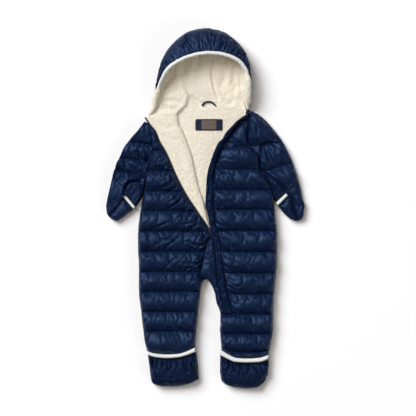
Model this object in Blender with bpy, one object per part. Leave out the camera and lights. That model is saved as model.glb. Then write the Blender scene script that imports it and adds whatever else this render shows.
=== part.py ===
"""Baby's hooded snowsuit, laid flat on its back with its front opened to one side.

Sizes are in millimetres until a mesh is made. X runs across the suit towards its wearer's left, Y up
to the hood, Z up from the surface that it lies on. The back lies below, its lining in a shallow
recess, and the quilted fronts, sleeves and foot flaps lie on top. Each piece is a sheet: a top surface
over a ladder of rows between two edges, walls down from its outline, and a flat underside.
"""

import bmesh
import bpy
import numpy as np

MM = 0.001

# Where the middle of the whole suit's box lies in the pattern below
CENTRE = (0.02, -0.35)

# Levels of the layers
SEAM = 0.3
BACK_TOP = 12.0
RECESS = 8.0
SLEEVE_BACK_TOP = 8.0
RIM = 7.0

# Quilting: height of the stitch lines above a panel's underside, of the down between them, and how
# far in from its seams a panel is rounded; the share of the down that is left at those seams
BODY_STITCH = 8.6
BODY_PUFF = 8.4
BODY_ROUND = 15.0
SLEEVE_STITCH = 7.4
SLEEVE_PUFF = 7.0
SLEEVE_ROUND = 14.0
EDGE = 2.6
SEAM_DOWN = 0.45

# Skirts: heights and insets of the loops between a flat piece's edge and its underside
BACK_SKIRT = ((3.5, 0.6), (0.0, 1.8))
SLEEVE_SKIRT = ((2.6, 0.4), (0.0, 2.2))
RIM_DROP = 3.0
CUFF_DROP = 2.0

# The chest's valley beside its rolled edge: half-width, depth as a share, and the heights up the suit
# where it starts and is at its deepest
VALLEY_WIDTH = 18.0
VALLEY_SHARE = 0.75
VALLEY_START = 70.0
VALLEY_FULL = 110.0

# The hood's walls: shell, shell with lining, and the gap between the two
HOOD_SHELL = 3.7
HOOD_WALL = 8.3
LINING_GAP = 0.6
HOOD_BINDING = 8.0
BINDING_OVERHANG = 1.2

# Zip tape: its width, then the height of its edges, the rise of its middle and the rise's radius
ZIP_WIDTH = 3.75
ZIP_HEIGHT = (5.0, 1.2, 1.5)

# Zip cover: its two ends, the height of its edges, the rise of its middle, the further rise where it
# rolls up along the chest between two heights up the suit, and the radius of its edges
COVER_TOP = 210.5
COVER_END = -232.0
COVER_EDGE = 4.0
COVER_RISE = 6.0
COVER_ROLL = 5.0
COVER_ROLL_FROM = 60.0
COVER_ROLL_OVER = 60.0
COVER_RADIUS = 4.5

# Fleece facing: the height of its edges, the rise of its middle and the rise's radius
FACING_HEIGHT = (2.0, 5.5, 7.0)

# Gusset, flaps and bands: heights above what they lie on, and the radius of their edges
GUSSET_SHARE = 0.5
GUSSET_FULLNESS = 0.55
GUSSET_ROUND = 10.0
HAND_FULLNESS = 0.45
CUFF_RADIUS = 5.0
MITTEN_PUFF = 4.0
MITTEN_FULLNESS = 0.5
MITTEN_ROUND = 9.0
CUFF_BAND = (9.0, 3.2, 3.0)
FOOT_PUFF = 9.0
FOOT_ROUND = 12.0
FOOT_GATHER_HEIGHT = 2.6
FOOT_GATHER_ROUND = 4.0
FOOT_BAND = (10.0, 4.5, 3.5)
FOLD_ROUND = 10.0

NAVY = (0.012, 0.024, 0.085, 1.0)
NAVY_TRIM = (0.008, 0.016, 0.055, 1.0)
CREAM = (0.80, 0.74, 0.62, 1.0)
WHITE = (0.85, 0.86, 0.85, 1.0)
BROWN = (0.21, 0.13, 0.09, 1.0)


def table(names, *rows):
    """The named columns of a short table, each as an array."""
    columns = np.array(rows, dtype=float).T
    return dict(zip(names.split(), columns))


# The outline and seams, by height up the suit ------------------------------------------------------

ARMHOLE_RIGHT = table(
    "y x",
    (202, -126.5), (192, -126), (172, -121.7), (140, -117.3), (106, -124),
    (80, -130.5), (51, -132.7), (25, -137),
)
ARMHOLE_LEFT = table(
    "y x",
    (217, 100.4), (205, 98), (173, 94), (152, 92.8), (132, 102.5), (112, 116.4),
    (88, 118.8), (67, 133.5), (45, 144.5), (23, 151),
)
SIDE_RIGHT = table(
    "y x",
    (25, -137), (-14, -143.7), (-58, -148), (-92, -148), (-118, -146), (-180, -146),
    (-223, -141.5), (-263, -137), (-294, -132.7), (-312, -128.3), (-323, -126.1),
    (-354, -122), (-374, -119.3), (-382, -116.5),
)
SIDE_LEFT = table(
    "y x",
    (23, 151), (-14, 153.3), (-58, 157.5), (-118, 157.5), (-162, 153.3), (-223, 149),
    (-267, 148.6), (-303, 142.3), (-321, 139.2), (-350, 139), (-368, 137), (-379, 132),
)
INLEG_RIGHT = table(
    "y x",
    (-156, 2.6), (-157, -2), (-161, -6.2), (-177, -10), (-212, -14.3), (-254, -18.7),
    (-285, -21.6), (-303, -22.7), (-316, -21), (-338, -17.8), (-360, -15.8), (-378, -14.7),
)
INLEG_LEFT = table(
    "y x",
    (-156, 2.6), (-157, 6), (-161, 9.4), (-171, 15.6), (-190, 21.8), (-209, 25.7),
    (-222, 31.3), (-232, 33.2), (-255, 33.7), (-267, 32.4), (-290, 34.5), (-311, 36),
    (-325, 33.6), (-364, 33), (-378, 36.2),
)
NECK = table(
    "x y",
    (-127, 200), (-100, 199), (-75, 202.5), (-50, 209.8), (-22, 215.8), (5, 218.6),
    (43, 217.6), (76, 215.4), (101, 216.2),
)
TOE_RIGHT = table(
    "x y",
    (-120, -377), (-117, -382.5), (-111, -387.4), (-93, -391.3), (-71, -391.5), (-46, -388.5),
    (-26, -381.5), (-14, -375),
)
TOE_LEFT = table(
    "x y",
    (33, -370), (36, -378.5), (45, -386.5), (64, -392.8), (92, -395.8), (112, -393.8),
    (127, -384.6), (133.5, -376), (138, -364),
)
ZIP_EDGE = table(
    "y x",
    (201, -131), (194, -126.9), (185, -120.8), (169.4, -108.5), (148, -99.7), (124, -85.6),
    (97, -73.3), (76, -64.5), (48, -50.4), (23, -36.3), (0, -20.5), (-14.5, -11),
    (-28, -1.3), (-49, 10.8), (-61, 16),
)
FACING_EDGE = table(
    "y x",
    (206, -61), (183, -57.4), (168, -48.6), (140, -38), (115, -29.3), (81, -22.2),
    (44, -13.4), (14.5, -3), (-19, 4.2), (-45, 10.3),
)
PLACKET_LEFT = table(
    "y x",
    (215.6, 99.7), (208.6, 93.1), (202.8, 83.4), (193, 71), (181, 58.7), (167, 46.4),
    (153.6, 37.6), (139.5, 27.1), (117.5, 16.5), (97, 9.5), (84.5, 5.9), (62.5, 2.6),
    (40, 1.5), (7.5, 0), (-14.5, 5.1), (-35, 9), (-53, 13.6), (-69.5, 16.9), (-91.5, 20.5),
    (-109, 22.4), (-124.5, 23.5), (-164, 27.9), (-195, 35), (-221, 38.5), (-233, 41.5),
)
PLACKET_RIGHT = table(
    "y x",
    (213.5, 100.1), (199, 89.5), (188, 76.3), (177, 66.4), (162.6, 55.4), (149.4, 46.6),
    (135, 36.7), (115.3, 27.9), (95.5, 22.4), (80, 19.8), (51.5, 18), (18.5, 17.6),
    (-3.5, 19.6), (-30.6, 22), (-50.8, 27.7), (-71, 30.8), (-87, 34.1), (-111, 35.6),
    (-134, 40.5), (-160, 43.8), (-186, 49.1), (-208, 54.3), (-233, 59.6),
)
CROTCH_SEAM = table(
    "y x",
    (-60, 14.2), (-68, 7.5), (-80, 1.5), (-96, -2.6), (-113, -6.2), (-131, -10.2),
    (-147, -12.2), (-155, -9),
)
HEM_RIGHT = table(
    "x y",
    (-130, -311), (-126, -312.6), (-112, -318), (-85, -320.3), (-61, -319.2), (-42.5, -314.2),
    (-21, -304.5),
)
HEM_LEFT = table(
    "x y",
    (34, -310), (51.5, -320.3), (68, -327.2), (92, -329), (119, -327.4), (141, -320.8),
)

# Stitch lines across the fronts, by height up the suit
STITCHES_RIGHT = (129, 84, 38.5, -4.6, -49.7, -94.2, -138.4, -182.4, -226.4, -269.7)
STITCHES_LEFT = (136.4, 86.7, 41.4, -1.8, -48.6, -94.8, -141.5, -187.4, -231.9, -275.4, -309.5)
BAFFLE_ROWS = (0.1, 0.32, 0.6, 0.87)

# Sleeves: stations from shoulder to cuff, each a row from its outer edge (ax, ay) to its inner (bx, by)
SLEEVE_RIGHT = table(
    "s ax ay bx by",
    (0, -134.5, 191, -126.6, 188), (1, -148.1, 172.5, -122.4, 173), (2, -166, 152, -118.2, 145),
    (3, -184, 122.5, -121.8, 114), (4, -194, 99.5, -128.2, 90), (5, -199.5, 84, -133.1, 58),
    (6, -202.5, 73, -135.6, 33), (7, -204.3, 66, -152.9, 4),
)
HAND_RIGHT = table(
    "s ax ay bx by",
    (0, -204.3, 66, -174.9, 30.6), (1, -211, 36, -182.4, 24.4), (2, -215, 18.5, -190.2, 12.8),
    (3, -218.3, 5, -197.2, 3.2), (4, -216.5, -11, -204.2, -7), (5, -210.8, -19.5, -208.8, -13.5),
)
MITTEN_RIGHT = table(
    "s ax ay bx by",
    (0, -181.6, 23.6, -159.4, -2.2), (1, -189.4, 12, -171, -11.2), (2, -196.4, 2.4, -183.5, -20.8),
    (3, -203.4, -7.8, -195, -27.3), (4, -208, -14.6, -205.5, -24.3),
)
CUFF_RIGHT = table(
    "s ax ay bx by",
    (0, -174.8, 30, -181.4, 24.5), (0.5, -163.7, 16.9, -170.1, 11.1), (1, -153, 3.4, -158.9, -1.9),
)
SLEEVE_LEFT = table(
    "s ax ay bx by",
    (0, 105.5, 211.2, 100.2, 205.5), (1, 127, 198.8, 96.4, 186), (2, 152, 171.5, 93.3, 158),
    (3, 172, 144, 101, 136.5), (4, 186, 117.5, 116.6, 113), (5, 195.5, 92, 119.6, 89),
    (6, 201, 77, 134, 67.5), (7, 204, 67, 145.8, 42.5), (8, 205.6, 60.5, 154.2, 13.6),
)
HAND_LEFT = table(
    "s ax ay bx by",
    (0, 205.6, 60.5, 177.1, 34.5), (1, 210.5, 40.5, 183.4, 27.7), (2, 213.8, 22.9, 191.2, 19.5),
    (3, 218.3, 6, 194.8, 4), (4, 217.1, -5.7, 197.8, -7), (5, 214.7, -19, 201, -17),
    (6, 208, -26.6, 204, -25.4),
)
MITTEN_LEFT = table(
    "s ax ay bx by",
    (0, 182.6, 26.6, 160.9, 4.6), (1, 190.4, 18.6, 170.9, -7.9), (2, 194, 3.4, 181.9, -18.9),
    (3, 197, -7.8, 191, -24.8), (4, 202.6, -26, 199.5, -27.6),
)
CUFF_LEFT = table(
    "s ax ay bx by",
    (0, 154.5, 13.2, 160.4, 5.2), (0.5, 165.8, 23.6, 171.6, 16), (1, 176.9, 33.9, 182.6, 27.4),
)
SLEEVE_RIGHT_STITCHES = (2.1, 3.4, 4.7)
SLEEVE_LEFT_STITCHES = (2.9, 5.2)

# Foot flaps, across the foot: the binding's upper and lower edges and the toe
FOOT_RIGHT = table(
    "s top_x top_y low_x low_y toe_x toe_y",
    (0, -128, -313.2, -126.2, -322.6, -118.5, -378.5),
    (1, -112, -318.3, -110.5, -327.4, -109, -387.8),
    (2, -85, -320.7, -84, -329.8, -84, -391.6),
    (3, -61, -319.6, -59.5, -328, -57, -390.2),
    (4, -42.5, -314.6, -39, -322.6, -34, -384.8),
    (5, -22.4, -305.4, -21.2, -315.4, -15.2, -376),
)
FOOT_LEFT = table(
    "s top_x top_y low_x low_y toe_x toe_y",
    (0, 35.8, -311.4, 34, -323.6, 35.4, -376.5),
    (1, 51.5, -320.7, 49.5, -331.7, 49.5, -388.6),
    (2, 68, -327.7, 66.5, -338.2, 66.5, -393.4),
    (3, 92, -329.5, 92, -339.4, 92, -395.8),
    (4, 119, -327.8, 118, -338.3, 114, -393.2),
    (5, 139, -321.6, 139, -331.4, 137.5, -366),
)
FOOT_GATHERS = 14

# Hood, round from the suit's right shoulder over the crown to its left one: the widest line (wx, wy),
# how far in its foot lies and how high it is, the brim and its height, how many degrees the wall
# curls in above its widest line, and the share of the wall's full thickness
HOOD = table(
    "s wx wy foot wide_z bx by brim_z curl thin",
    (0, -124.3, 207.5, 9, 13, -123.2, 208, 17, 10, 0.6),
    (1, -116.4, 224, 15, 16, -115.4, 225, 21, 12, 0.8),
    (2, -112.4, 246, 20, 21, -111.4, 246.4, 28, 12, 1),
    (3, -106.8, 275, 24, 31, -102.4, 276.5, 41, 25, 1),
    (4, -99, 311, 24, 34, -88, 305.5, 54, 45, 1),
    (5, -86.5, 341, 22, 30, -69, 322, 59, 60, 1),
    (6, -64.5, 367.8, 20, 27, -42.5, 334.8, 62, 70, 1),
    (7, -33.7, 388.5, 18, 25, -17.2, 341.9, 64, 72, 1),
    (8, 1.5, 395.1, 18, 25, 5.9, 344.5, 65, 72, 1),
    (9, 36.7, 388.5, 18, 25, 30.1, 343.2, 64, 72, 1),
    (10, 65.3, 368.7, 20, 27, 54.3, 337.5, 62, 70, 1),
    (11, 83.4, 348.5, 22, 30, 74.1, 327.8, 58, 60, 1),
    (12, 93.7, 324.3, 24.5, 34, 87.4, 314.4, 53, 40, 1),
    (13, 97.7, 300.1, 23.5, 36, 94.6, 300.1, 48, 25, 1),
    (14, 98.5, 272, 22, 34, 97.3, 272, 43, 15, 1),
    (15, 98.3, 245, 17, 26, 97.2, 245, 34, 12, 0.9),
    (16, 98.0, 222.5, 10, 14, 97.0, 223.2, 19, 10, 0.6),
)
HOOD_MIDDLE = (-10.0, 262.0)
HOOD_SEAMS = (6.6, 8.5)
HOOD_GATHERS = 24
GATHER_HEIGHT = 1.8

# Label on the back lining, its woven patch, and the hanger loop above it
LABEL_CENTRE = (8.0, 183.9)
LABEL_SIZE = (60.0, 25.5, 1.2)
PATCH_SIZE = (33.0, 20.5, 0.8)
LOOP = table(
    "s x y",
    (0, -7.3, 225.4), (1, -3.5, 231), (2, 1.5, 234), (3, 9.5, 234.6), (4, 17, 231.5), (5, 22.2, 226.2),
)
LOOP_TAPE = (3.8, 3.4)


# Curves ---------------------------------------------------------------------------------------------


def smooth(knots, values, at):
    """A smooth curve through the values that never overshoots them, read at the given places."""
    order = np.argsort(knots)
    k = np.asarray(knots, dtype=float)[order]
    v = np.asarray(values, dtype=float)[order]
    step = np.diff(k)
    slope = np.diff(v) / step
    tangent = np.zeros(len(k))
    tangent[0] = slope[0]
    tangent[-1] = slope[-1]
    same_way = slope[:-1] * slope[1:] > 0
    weight_a = 2 * step[1:] + step[:-1]
    weight_b = step[1:] + 2 * step[:-1]
    safe_a = np.where(same_way, slope[:-1], 1.0)
    safe_b = np.where(same_way, slope[1:], 1.0)
    mean = (weight_a + weight_b) / (weight_a / safe_a + weight_b / safe_b)
    tangent[1:-1] = np.where(same_way, mean, 0.0)
    x = np.clip(np.asarray(at, dtype=float), k[0], k[-1])
    i = np.clip(np.searchsorted(k, x, side="right") - 1, 0, len(k) - 2)
    h = step[i]
    t = (x - k[i]) / h
    start = (1 + 2 * t) * (1 - t) ** 2 * v[i] + t * (1 - t) ** 2 * h * tangent[i]
    end = t * t * (3 - 2 * t) * v[i + 1] + t * t * (t - 1) * h * tangent[i + 1]
    return start + end


def across(curve, y):
    """The x of a seam or edge at the heights y."""
    return smooth(curve["y"], curve["x"], y)


def joined(upper, lower, y):
    """The x of an edge that changes from one curve to the next where the lower one starts."""
    return np.where(y > lower["y"].max(), across(upper, y), across(lower, y))


def bend_to(x, y, line, nominal, since):
    """Shears the rows beyond `since`, so that the row at `nominal` follows a curved line."""
    share = np.clip((y - since) / (nominal - since), 0, None)
    return y + share * (smooth(line["x"], line["y"], x) - nominal)


def quilted_rows(stitches, start, end):
    """Heights of the rows from start to end, and how full the down is at each (0 on a stitch line)."""
    lines = sorted({start, end, *(s for s in stitches if min(start, end) < s < max(start, end))})
    if start > end:
        lines.reverse()
    rows = [start]
    fullness = [0.0 if start in stitches else 0.6]
    for here, there in zip(lines, lines[1:]):
        for share in BAFFLE_ROWS:
            rows.append(here + (there - here) * share)
            fullness.append(np.sin(np.pi * share) ** 0.7)
        rows.append(there)
        fullness.append(0.0 if there in stitches else 0.6)
    return np.array(rows), np.array(fullness)


# Patches: a grid of (x, y) with the fullness of the down at each point --------------------------------


def patch(left, right, y, fullness, columns):
    """Rows at the heights y from the left edge to the right one."""
    u = np.asarray(columns)[None, :]
    x = left[:, None] + (right - left)[:, None] * u
    yy = np.repeat(y[:, None], u.shape[1], axis=1)
    full = np.repeat(np.asarray(fullness)[:, None], u.shape[1], axis=1)
    return [x, yy, full]


def ladder(stations, at, fullness, columns, names=("ax", "ay", "bx", "by"), armhole=None):
    """Rows at the stations `at`, each straight from point a to point b, clear of an armhole."""
    ax, ay, bx, by = (smooth(stations["s"], stations[n], at)[:, None] for n in names)
    if armhole is not None:
        side = np.sign(ax.mean())
        bx = side * np.maximum(side * bx, side * across(armhole, by) + 4 * SEAM)
    u = np.asarray(columns)[None, :]
    full = np.repeat(np.asarray(fullness)[:, None], u.shape[1], axis=1)
    return [ax + (bx - ax) * u, ay + (by - ay) * u, full]


def weld(patches):
    """One list of points and faces from patches that share some of their points."""
    points, faces = [], []
    start = 0
    for x, y, full in patches:
        rows, cols = x.shape
        points.append(np.stack([x, y, full], axis=-1).reshape(-1, 3))
        number = start + np.arange(rows * cols).reshape(rows, cols)
        quads = np.stack([number[:-1, :-1], number[:-1, 1:], number[1:, 1:], number[1:, :-1]], -1)
        faces.append(quads.reshape(-1, 4))
        start += rows * cols
    points = np.concatenate(points)
    faces = np.concatenate(faces)
    key = np.round(points[:, :2], 2)
    _, first, inverse = np.unique(key, axis=0, return_index=True, return_inverse=True)
    return points[first], inverse.reshape(-1)[faces]


def outline(points, faces):
    """The boundary of the faces as one loop of point numbers, counter-clockwise."""
    corners = points[faces][..., :2]
    nxt = np.roll(corners, -1, axis=1)
    turn = (corners[..., 0] * nxt[..., 1] - nxt[..., 0] * corners[..., 1]).sum(axis=1)
    faces = np.where((turn < 0)[:, None], faces[:, ::-1], faces)
    edges = {(int(a), int(b)) for f in faces for a, b in zip(f, np.roll(f, -1))}
    follow = {a: b for a, b in edges if (b, a) not in edges}
    loop = [min(follow)]
    for _ in range(len(follow) - 1):
        loop.append(follow[loop[-1]])
    assert follow[loop[-1]] == loop[0] and len(set(loop)) == len(loop), "the outline crosses itself"
    return faces, np.array(loop)


def distance_to(points, line, closed=True):
    """How far each (x, y) is from a line of points."""
    a = line[:, :2]
    b = np.roll(a, -1, axis=0)
    if not closed:
        a, b = a[:-1], b[:-1]
    p = points[:, None, :2]
    along = b - a
    t = np.clip(((p - a) * along).sum(-1) / np.maximum((along**2).sum(-1), 1e-9), 0, 1)
    return np.linalg.norm(p - a - along * t[..., None], axis=-1).min(axis=1)


def rounded(d, radius):
    """0 at an edge, 1 further in than the radius, with a round shoulder between."""
    return np.sqrt(1 - (1 - np.clip(d / radius, 0, 1)) ** 2)


# Solids ---------------------------------------------------------------------------------------------


def material(name, colour, roughness):
    """A Principled material for one kind of cloth."""
    found = bpy.data.materials.get(name)
    if found:
        return found
    made = bpy.data.materials.new(name)
    made.use_nodes = True
    shader = made.node_tree.nodes["Principled BSDF"]
    shader.inputs["Base Color"].default_value = colour
    shader.inputs["Roughness"].default_value = roughness
    shader.inputs["Metallic"].default_value = 0.0
    return made


CLOTHS = {
    "navy": lambda: material("navy_nylon", NAVY, 0.45),
    "tape": lambda: material("navy_tape", NAVY_TRIM, 0.6),
    "cream": lambda: material("cream_fleece", CREAM, 0.95),
    "white": lambda: material("white_elastic", WHITE, 0.7),
    "brown": lambda: material("brown_woven", BROWN, 0.8),
}


def solid(name, points, faces, cloth):
    """A named object from points in millimetres, moved so that the suit's box is centred."""
    mesh = bpy.data.meshes.new(name)
    moved = (np.asarray(points, dtype=float) - (*CENTRE, 0.0)) * MM
    mesh.from_pydata(moved.tolist(), [], [[int(i) for i in face] for face in faces])
    body = bmesh.new()
    body.from_mesh(mesh)
    bmesh.ops.recalc_face_normals(body, faces=body.faces)
    body.to_mesh(mesh)
    body.free()
    mesh.materials.append(CLOTHS[cloth]())
    mesh.shade_smooth()
    mesh.set_sharp_from_angle(angle=np.radians(50))
    made = bpy.data.objects.new(name, mesh)
    bpy.context.collection.objects.link(made)
    return made


def inset(points, loop, amount):
    """The outline moved in by an amount, along the normals of its corners."""
    p = points[loop][:, :2]
    before = p - np.roll(p, 1, axis=0)
    after = np.roll(p, -1, axis=0) - p
    before = before / np.linalg.norm(before, axis=1, keepdims=True)
    after = after / np.linalg.norm(after, axis=1, keepdims=True)
    way = before + after
    way = way / np.maximum(np.linalg.norm(way, axis=1, keepdims=True), 1e-6)
    cosine = np.clip((way * after).sum(axis=1), 0.6, 1)
    inward = np.stack([-way[:, 1], way[:, 0]], axis=1)
    return p + inward * (amount / cosine)[:, None]


def sheet(name, patches, height, floor, cloth, skirt=()):
    """A closed sheet: its top by height(points, fullness, edge distance), its skirt of (z, inset)
    loops, the last of which bounds the flat underside. Without a skirt its walls are upright."""
    flat, faces = weld(patches)
    faces, loop = outline(flat, faces)
    edge = distance_to(flat, flat[loop])
    top = np.column_stack([flat[:, :2], height(flat[:, :2], flat[:, 2], edge)])
    points = [top]
    solid_faces = [list(face) for face in faces]
    last = list(loop)
    start = len(top)
    for z, amount in skirt or ((floor, 0.0),):
        ring = inset(flat, loop, amount)
        points.append(np.column_stack([ring, np.full(len(ring), z)]))
        new = list(range(start, start + len(loop)))
        start += len(loop)
        for i in range(len(loop)):
            j = (i + 1) % len(loop)
            solid_faces.append([last[j], last[i], new[i], new[j]])
        last = new
    solid_faces.append(last[::-1])
    return solid(name, np.concatenate(points), solid_faces, cloth)


def wall(name, outer, inner, cloth):
    """A closed wall between two grids of points, the inner one behind the outer."""
    rows, cols, _ = outer.shape
    number = np.arange(rows * cols).reshape(rows, cols)
    back = number + rows * cols
    faces = []
    for grid, flip in ((number, False), (back, True)):
        a, b, c, d = grid[:-1, :-1], grid[:-1, 1:], grid[1:, 1:], grid[1:, :-1]
        halves = np.concatenate([np.stack([a, b, c], -1), np.stack([a, c, d], -1)]).reshape(-1, 3)
        faces += list(halves[:, ::-1] if flip else halves)
    rim = [*number[0, :-1], *number[:-1, -1], *number[-1, :0:-1], *number[:0:-1, 0]]
    under = [i + rows * cols for i in rim]
    for i in range(len(rim)):
        j = (i + 1) % len(rim)
        faces.append([rim[j], rim[i], under[i], under[j]])
    points = np.concatenate([outer.reshape(-1, 3), inner.reshape(-1, 3)])
    return solid(name, points, faces, cloth)


def tube(name, rings, cloth):
    """A closed solid through rings of points, with flat ends."""
    count, sides, _ = rings.shape
    faces = []
    for i in range(count - 1):
        for j in range(sides):
            k = (j + 1) % sides
            faces.append([i * sides + j, i * sides + k, (i + 1) * sides + k, (i + 1) * sides + j])
    faces.append(list(range(sides))[::-1])
    faces.append([(count - 1) * sides + j for j in range(sides)])
    return solid(name, rings.reshape(-1, 3), faces, cloth)


# Body -----------------------------------------------------------------------------------------------

WIDE_COLUMNS = (0, 0.015, 0.055, 0.12, 0.28, 0.5, 0.72, 0.88, 0.945, 0.985, 1)
FLAP_COLUMNS = (0, 0.06, 0.2, 0.4, 0.6, 0.8, 0.94, 1)
BACK_Y = (205, 180, 150, 130, 120, 110, 100, 90, 78, 65, 45, 24, 0, -30, -60, -94.5, -95.5, -125, -147, -156,
          -157.2, -161, -169, -180, -200, -222, -245, -270, -295, -312, -325, -345, -362, -371, -378)
HIP = -95.0
NECK_NOMINAL = 205.0
NECK_BEND = 150.0


def back_rows(outer, inner, toe):
    """One half of the back: columns by their distance from the outer and inner edges, with a 1
    for each point in the recess."""
    y = np.array(BACK_Y, dtype=float)
    left, right = outer(y), inner(y)
    sign = np.sign(right - left)
    width = np.abs(right - left)
    from_outer = [0, RIM / 2, RIM, RIM + 1.0, *(width * share for share in (0.22, 0.38, 0.54, 0.7, 0.85))]
    from_inner = [RIM, RIM / 2, 0]
    columns = [left + sign * d for d in from_outer] + [right - sign * d for d in from_inner]
    x = np.stack(columns, axis=1)
    yy = np.repeat(y[:, None], x.shape[1], axis=1)
    yy = bend_to(x, yy, NECK, NECK_NOMINAL, NECK_BEND)
    yy = bend_to(x, yy, toe, -378.0, -345.0)
    recessed = np.zeros(x.shape)
    recessed[y > HIP, 3:] = 1.0
    return [x, yy, recessed]


def build_back():
    """The whole back, cut in one from neck to toes, with a recess for its lining above the hips."""

    def right_side(y):
        return joined(ARMHOLE_RIGHT, SIDE_RIGHT, y) + SEAM

    def left_side(y):
        return joined(ARMHOLE_LEFT, SIDE_LEFT, y) - SEAM

    halves = [
        back_rows(right_side, lambda y: across(INLEG_RIGHT, y), TOE_RIGHT),
        back_rows(left_side, lambda y: across(INLEG_LEFT, y), TOE_LEFT),
    ]

    def height(p, recessed, edge):
        return np.where(recessed > 0, RECESS, BACK_TOP - RIM_DROP * (1 - rounded(edge, RIM)))

    sheet("back", halves, height, 0.0, "navy", skirt=BACK_SKIRT)


def build_back_lining():
    """The fleece in the back's recess, from the neck seam to the hips."""
    y = np.array([NECK_NOMINAL - SEAM, *(row for row in BACK_Y[1:] if row > HIP + 1.0), HIP + 1.0])
    gap = RIM + 1.0 + 2 * SEAM
    left = joined(ARMHOLE_RIGHT, SIDE_RIGHT, y) + gap
    right = joined(ARMHOLE_LEFT, SIDE_LEFT, y) - gap
    grid = patch(left, right, y, 0 * y, np.linspace(0, 1, 12))
    grid[1] = bend_to(grid[0], grid[1], NECK, NECK_NOMINAL, NECK_BEND)
    sheet("back_lining", [grid], lambda p, f, e: np.full(len(p), BACK_TOP), RECESS + SEAM, "cream")


def quilted(stitch, puff, radius, floor):
    """The height of a quilted panel that lies on `floor`."""

    def height(p, fullness, edge):
        crown = rounded(edge, radius)
        lift = EDGE + (stitch - EDGE) * crown
        down = fullness * rounded(edge, radius * 0.6) * (SEAM_DOWN + (1 - SEAM_DOWN) * crown)
        return floor + lift + puff * down

    return height


def crowned(floor, band):
    """The height of a flat band above `floor`: its edge, the rise of its middle, and how far in from
    its edge that is reached."""
    base, rise, radius = band

    def height(p, _, edge):
        return floor + base + rise * rounded(edge, radius)

    return height


def right_rows():
    """The rows of the right front, which its zip, facing and gusset share."""
    y, fullness = quilted_rows(STITCHES_RIGHT, 181.5, -312.0)
    return with_rows(y, fullness, (152.0, -59.5, -66.0, -75.0, -153.0, -157.5, -161.5))


def left_rows():
    """The rows of the left front, which its zip cover shares."""
    y, fullness = quilted_rows(STITCHES_LEFT, 204.0, -320.0)
    return with_rows(y, fullness, (198.0, 188.0, 177.0, -232.4, -235.4))


def build_front_right():
    """The suit's right front and leg, cut to the zip edge and the crotch seam."""
    y, fullness = right_rows()
    side = joined(ARMHOLE_RIGHT, SIDE_RIGHT, y) + SEAM
    zip_side = across(ZIP_EDGE, y) - ZIP_WIDTH - SEAM
    seam_side = across(CROTCH_SEAM, y) - SEAM
    leg_side = across(INLEG_RIGHT, y)
    edge = np.where(y > -58, zip_side, np.where(y > -154, seam_side, leg_side))
    edge = np.maximum(edge, side + 1.2)
    grid = patch(side, edge, y, fullness, WIDE_COLUMNS)
    grid[1] = bend_to(grid[0], grid[1], HEM_RIGHT, -312.0, -272.0)
    height = quilted(BODY_STITCH, BODY_PUFF, BODY_ROUND, BACK_TOP + SEAM)
    sheet("front_right", [grid], height, BACK_TOP + SEAM, "navy")


def with_rows(y, fullness, extra):
    """Adds rows at some heights, with the down's fullness between their neighbours'."""
    order = np.argsort(y)
    more = [e for e in extra if np.abs(y - e).min() > 1.0]
    full = np.interp(more, y[order], fullness[order])
    y = np.concatenate([y, more])
    fullness = np.concatenate([fullness, full])
    order = np.argsort(-y)
    return y[order], fullness[order]


def build_front_left():
    """The suit's left front and leg, from the zip cover to the armhole and side seam."""
    y, fullness = left_rows()
    side = joined(ARMHOLE_LEFT, SIDE_LEFT, y) - SEAM
    cover = across(PLACKET_RIGHT, y) + SEAM
    edge = np.where(y > -234, cover, across(INLEG_LEFT, y))
    edge = np.minimum(edge, side - 1.2)
    grid = patch(edge, side, y, fullness, WIDE_COLUMNS)
    grid[1] = bend_to(grid[0], grid[1], HEM_LEFT, -320.0, -278.0)
    plain = quilted(BODY_STITCH, BODY_PUFF, BODY_ROUND, BACK_TOP + SEAM)

    def height(p, full, edge_distance):
        """The quilting, with a valley beside the rolled edge of the chest."""
        d = p[:, 0] - across(PLACKET_RIGHT, p[:, 1])
        chest = np.clip((p[:, 1] - VALLEY_START) / (VALLEY_FULL - VALLEY_START), 0, 1)
        valley = np.exp(-((np.clip(d, 0, None) / VALLEY_WIDTH) ** 2))
        z = plain(p, full, edge_distance)
        low = BACK_TOP + SEAM + EDGE
        return low + (z - low) * (1 - chest * valley * VALLEY_SHARE)

    sheet("front_left", [grid], height, BACK_TOP + SEAM, "navy")


def build_zip_cover():
    """The plain strip down the left front, which hides the zip and ends on the leg."""
    y, _ = left_rows()
    y = np.array([COVER_TOP, *y[y > COVER_END], COVER_END])
    left = across(PLACKET_LEFT, y)
    right = np.maximum(across(PLACKET_RIGHT, y) - SEAM, left + 1.5)
    grid = patch(left, right, y, 0 * y, (0, 0.12, 0.35, 0.65, 0.88, 1))

    def height(p, _, edge):
        """A round-edged strip, higher where it rolls up along the chest."""
        rolled = np.clip((p[:, 1] - COVER_ROLL_FROM) / COVER_ROLL_OVER, 0, 1)
        rise = COVER_RISE + COVER_ROLL * rolled
        return BACK_TOP + SEAM + COVER_EDGE + rise * rounded(edge, COVER_RADIUS)

    sheet("zip_cover", [grid], height, BACK_TOP + SEAM, "navy")


def build_gusset():
    """The wedge between the crotch seam and the zip cover, which ends down the left leg."""
    y, _ = right_rows()
    y = y[(y < -62) & (y > -231)]
    seam = across(CROTCH_SEAM, y) + SEAM
    left = np.where(y > -152, seam, across(INLEG_LEFT, y))
    left = np.where((y < -152) & (y > -156), -3.5, left)
    right = np.maximum(across(PLACKET_LEFT, y) - SEAM, left + 1.5)
    grid = patch(left, right, y, GUSSET_FULLNESS + 0 * y, FLAP_COLUMNS)
    height = quilted(BODY_STITCH, BODY_PUFF * GUSSET_SHARE, GUSSET_ROUND, BACK_TOP + SEAM)
    sheet("gusset", [grid], height, BACK_TOP + SEAM, "navy")


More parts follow.
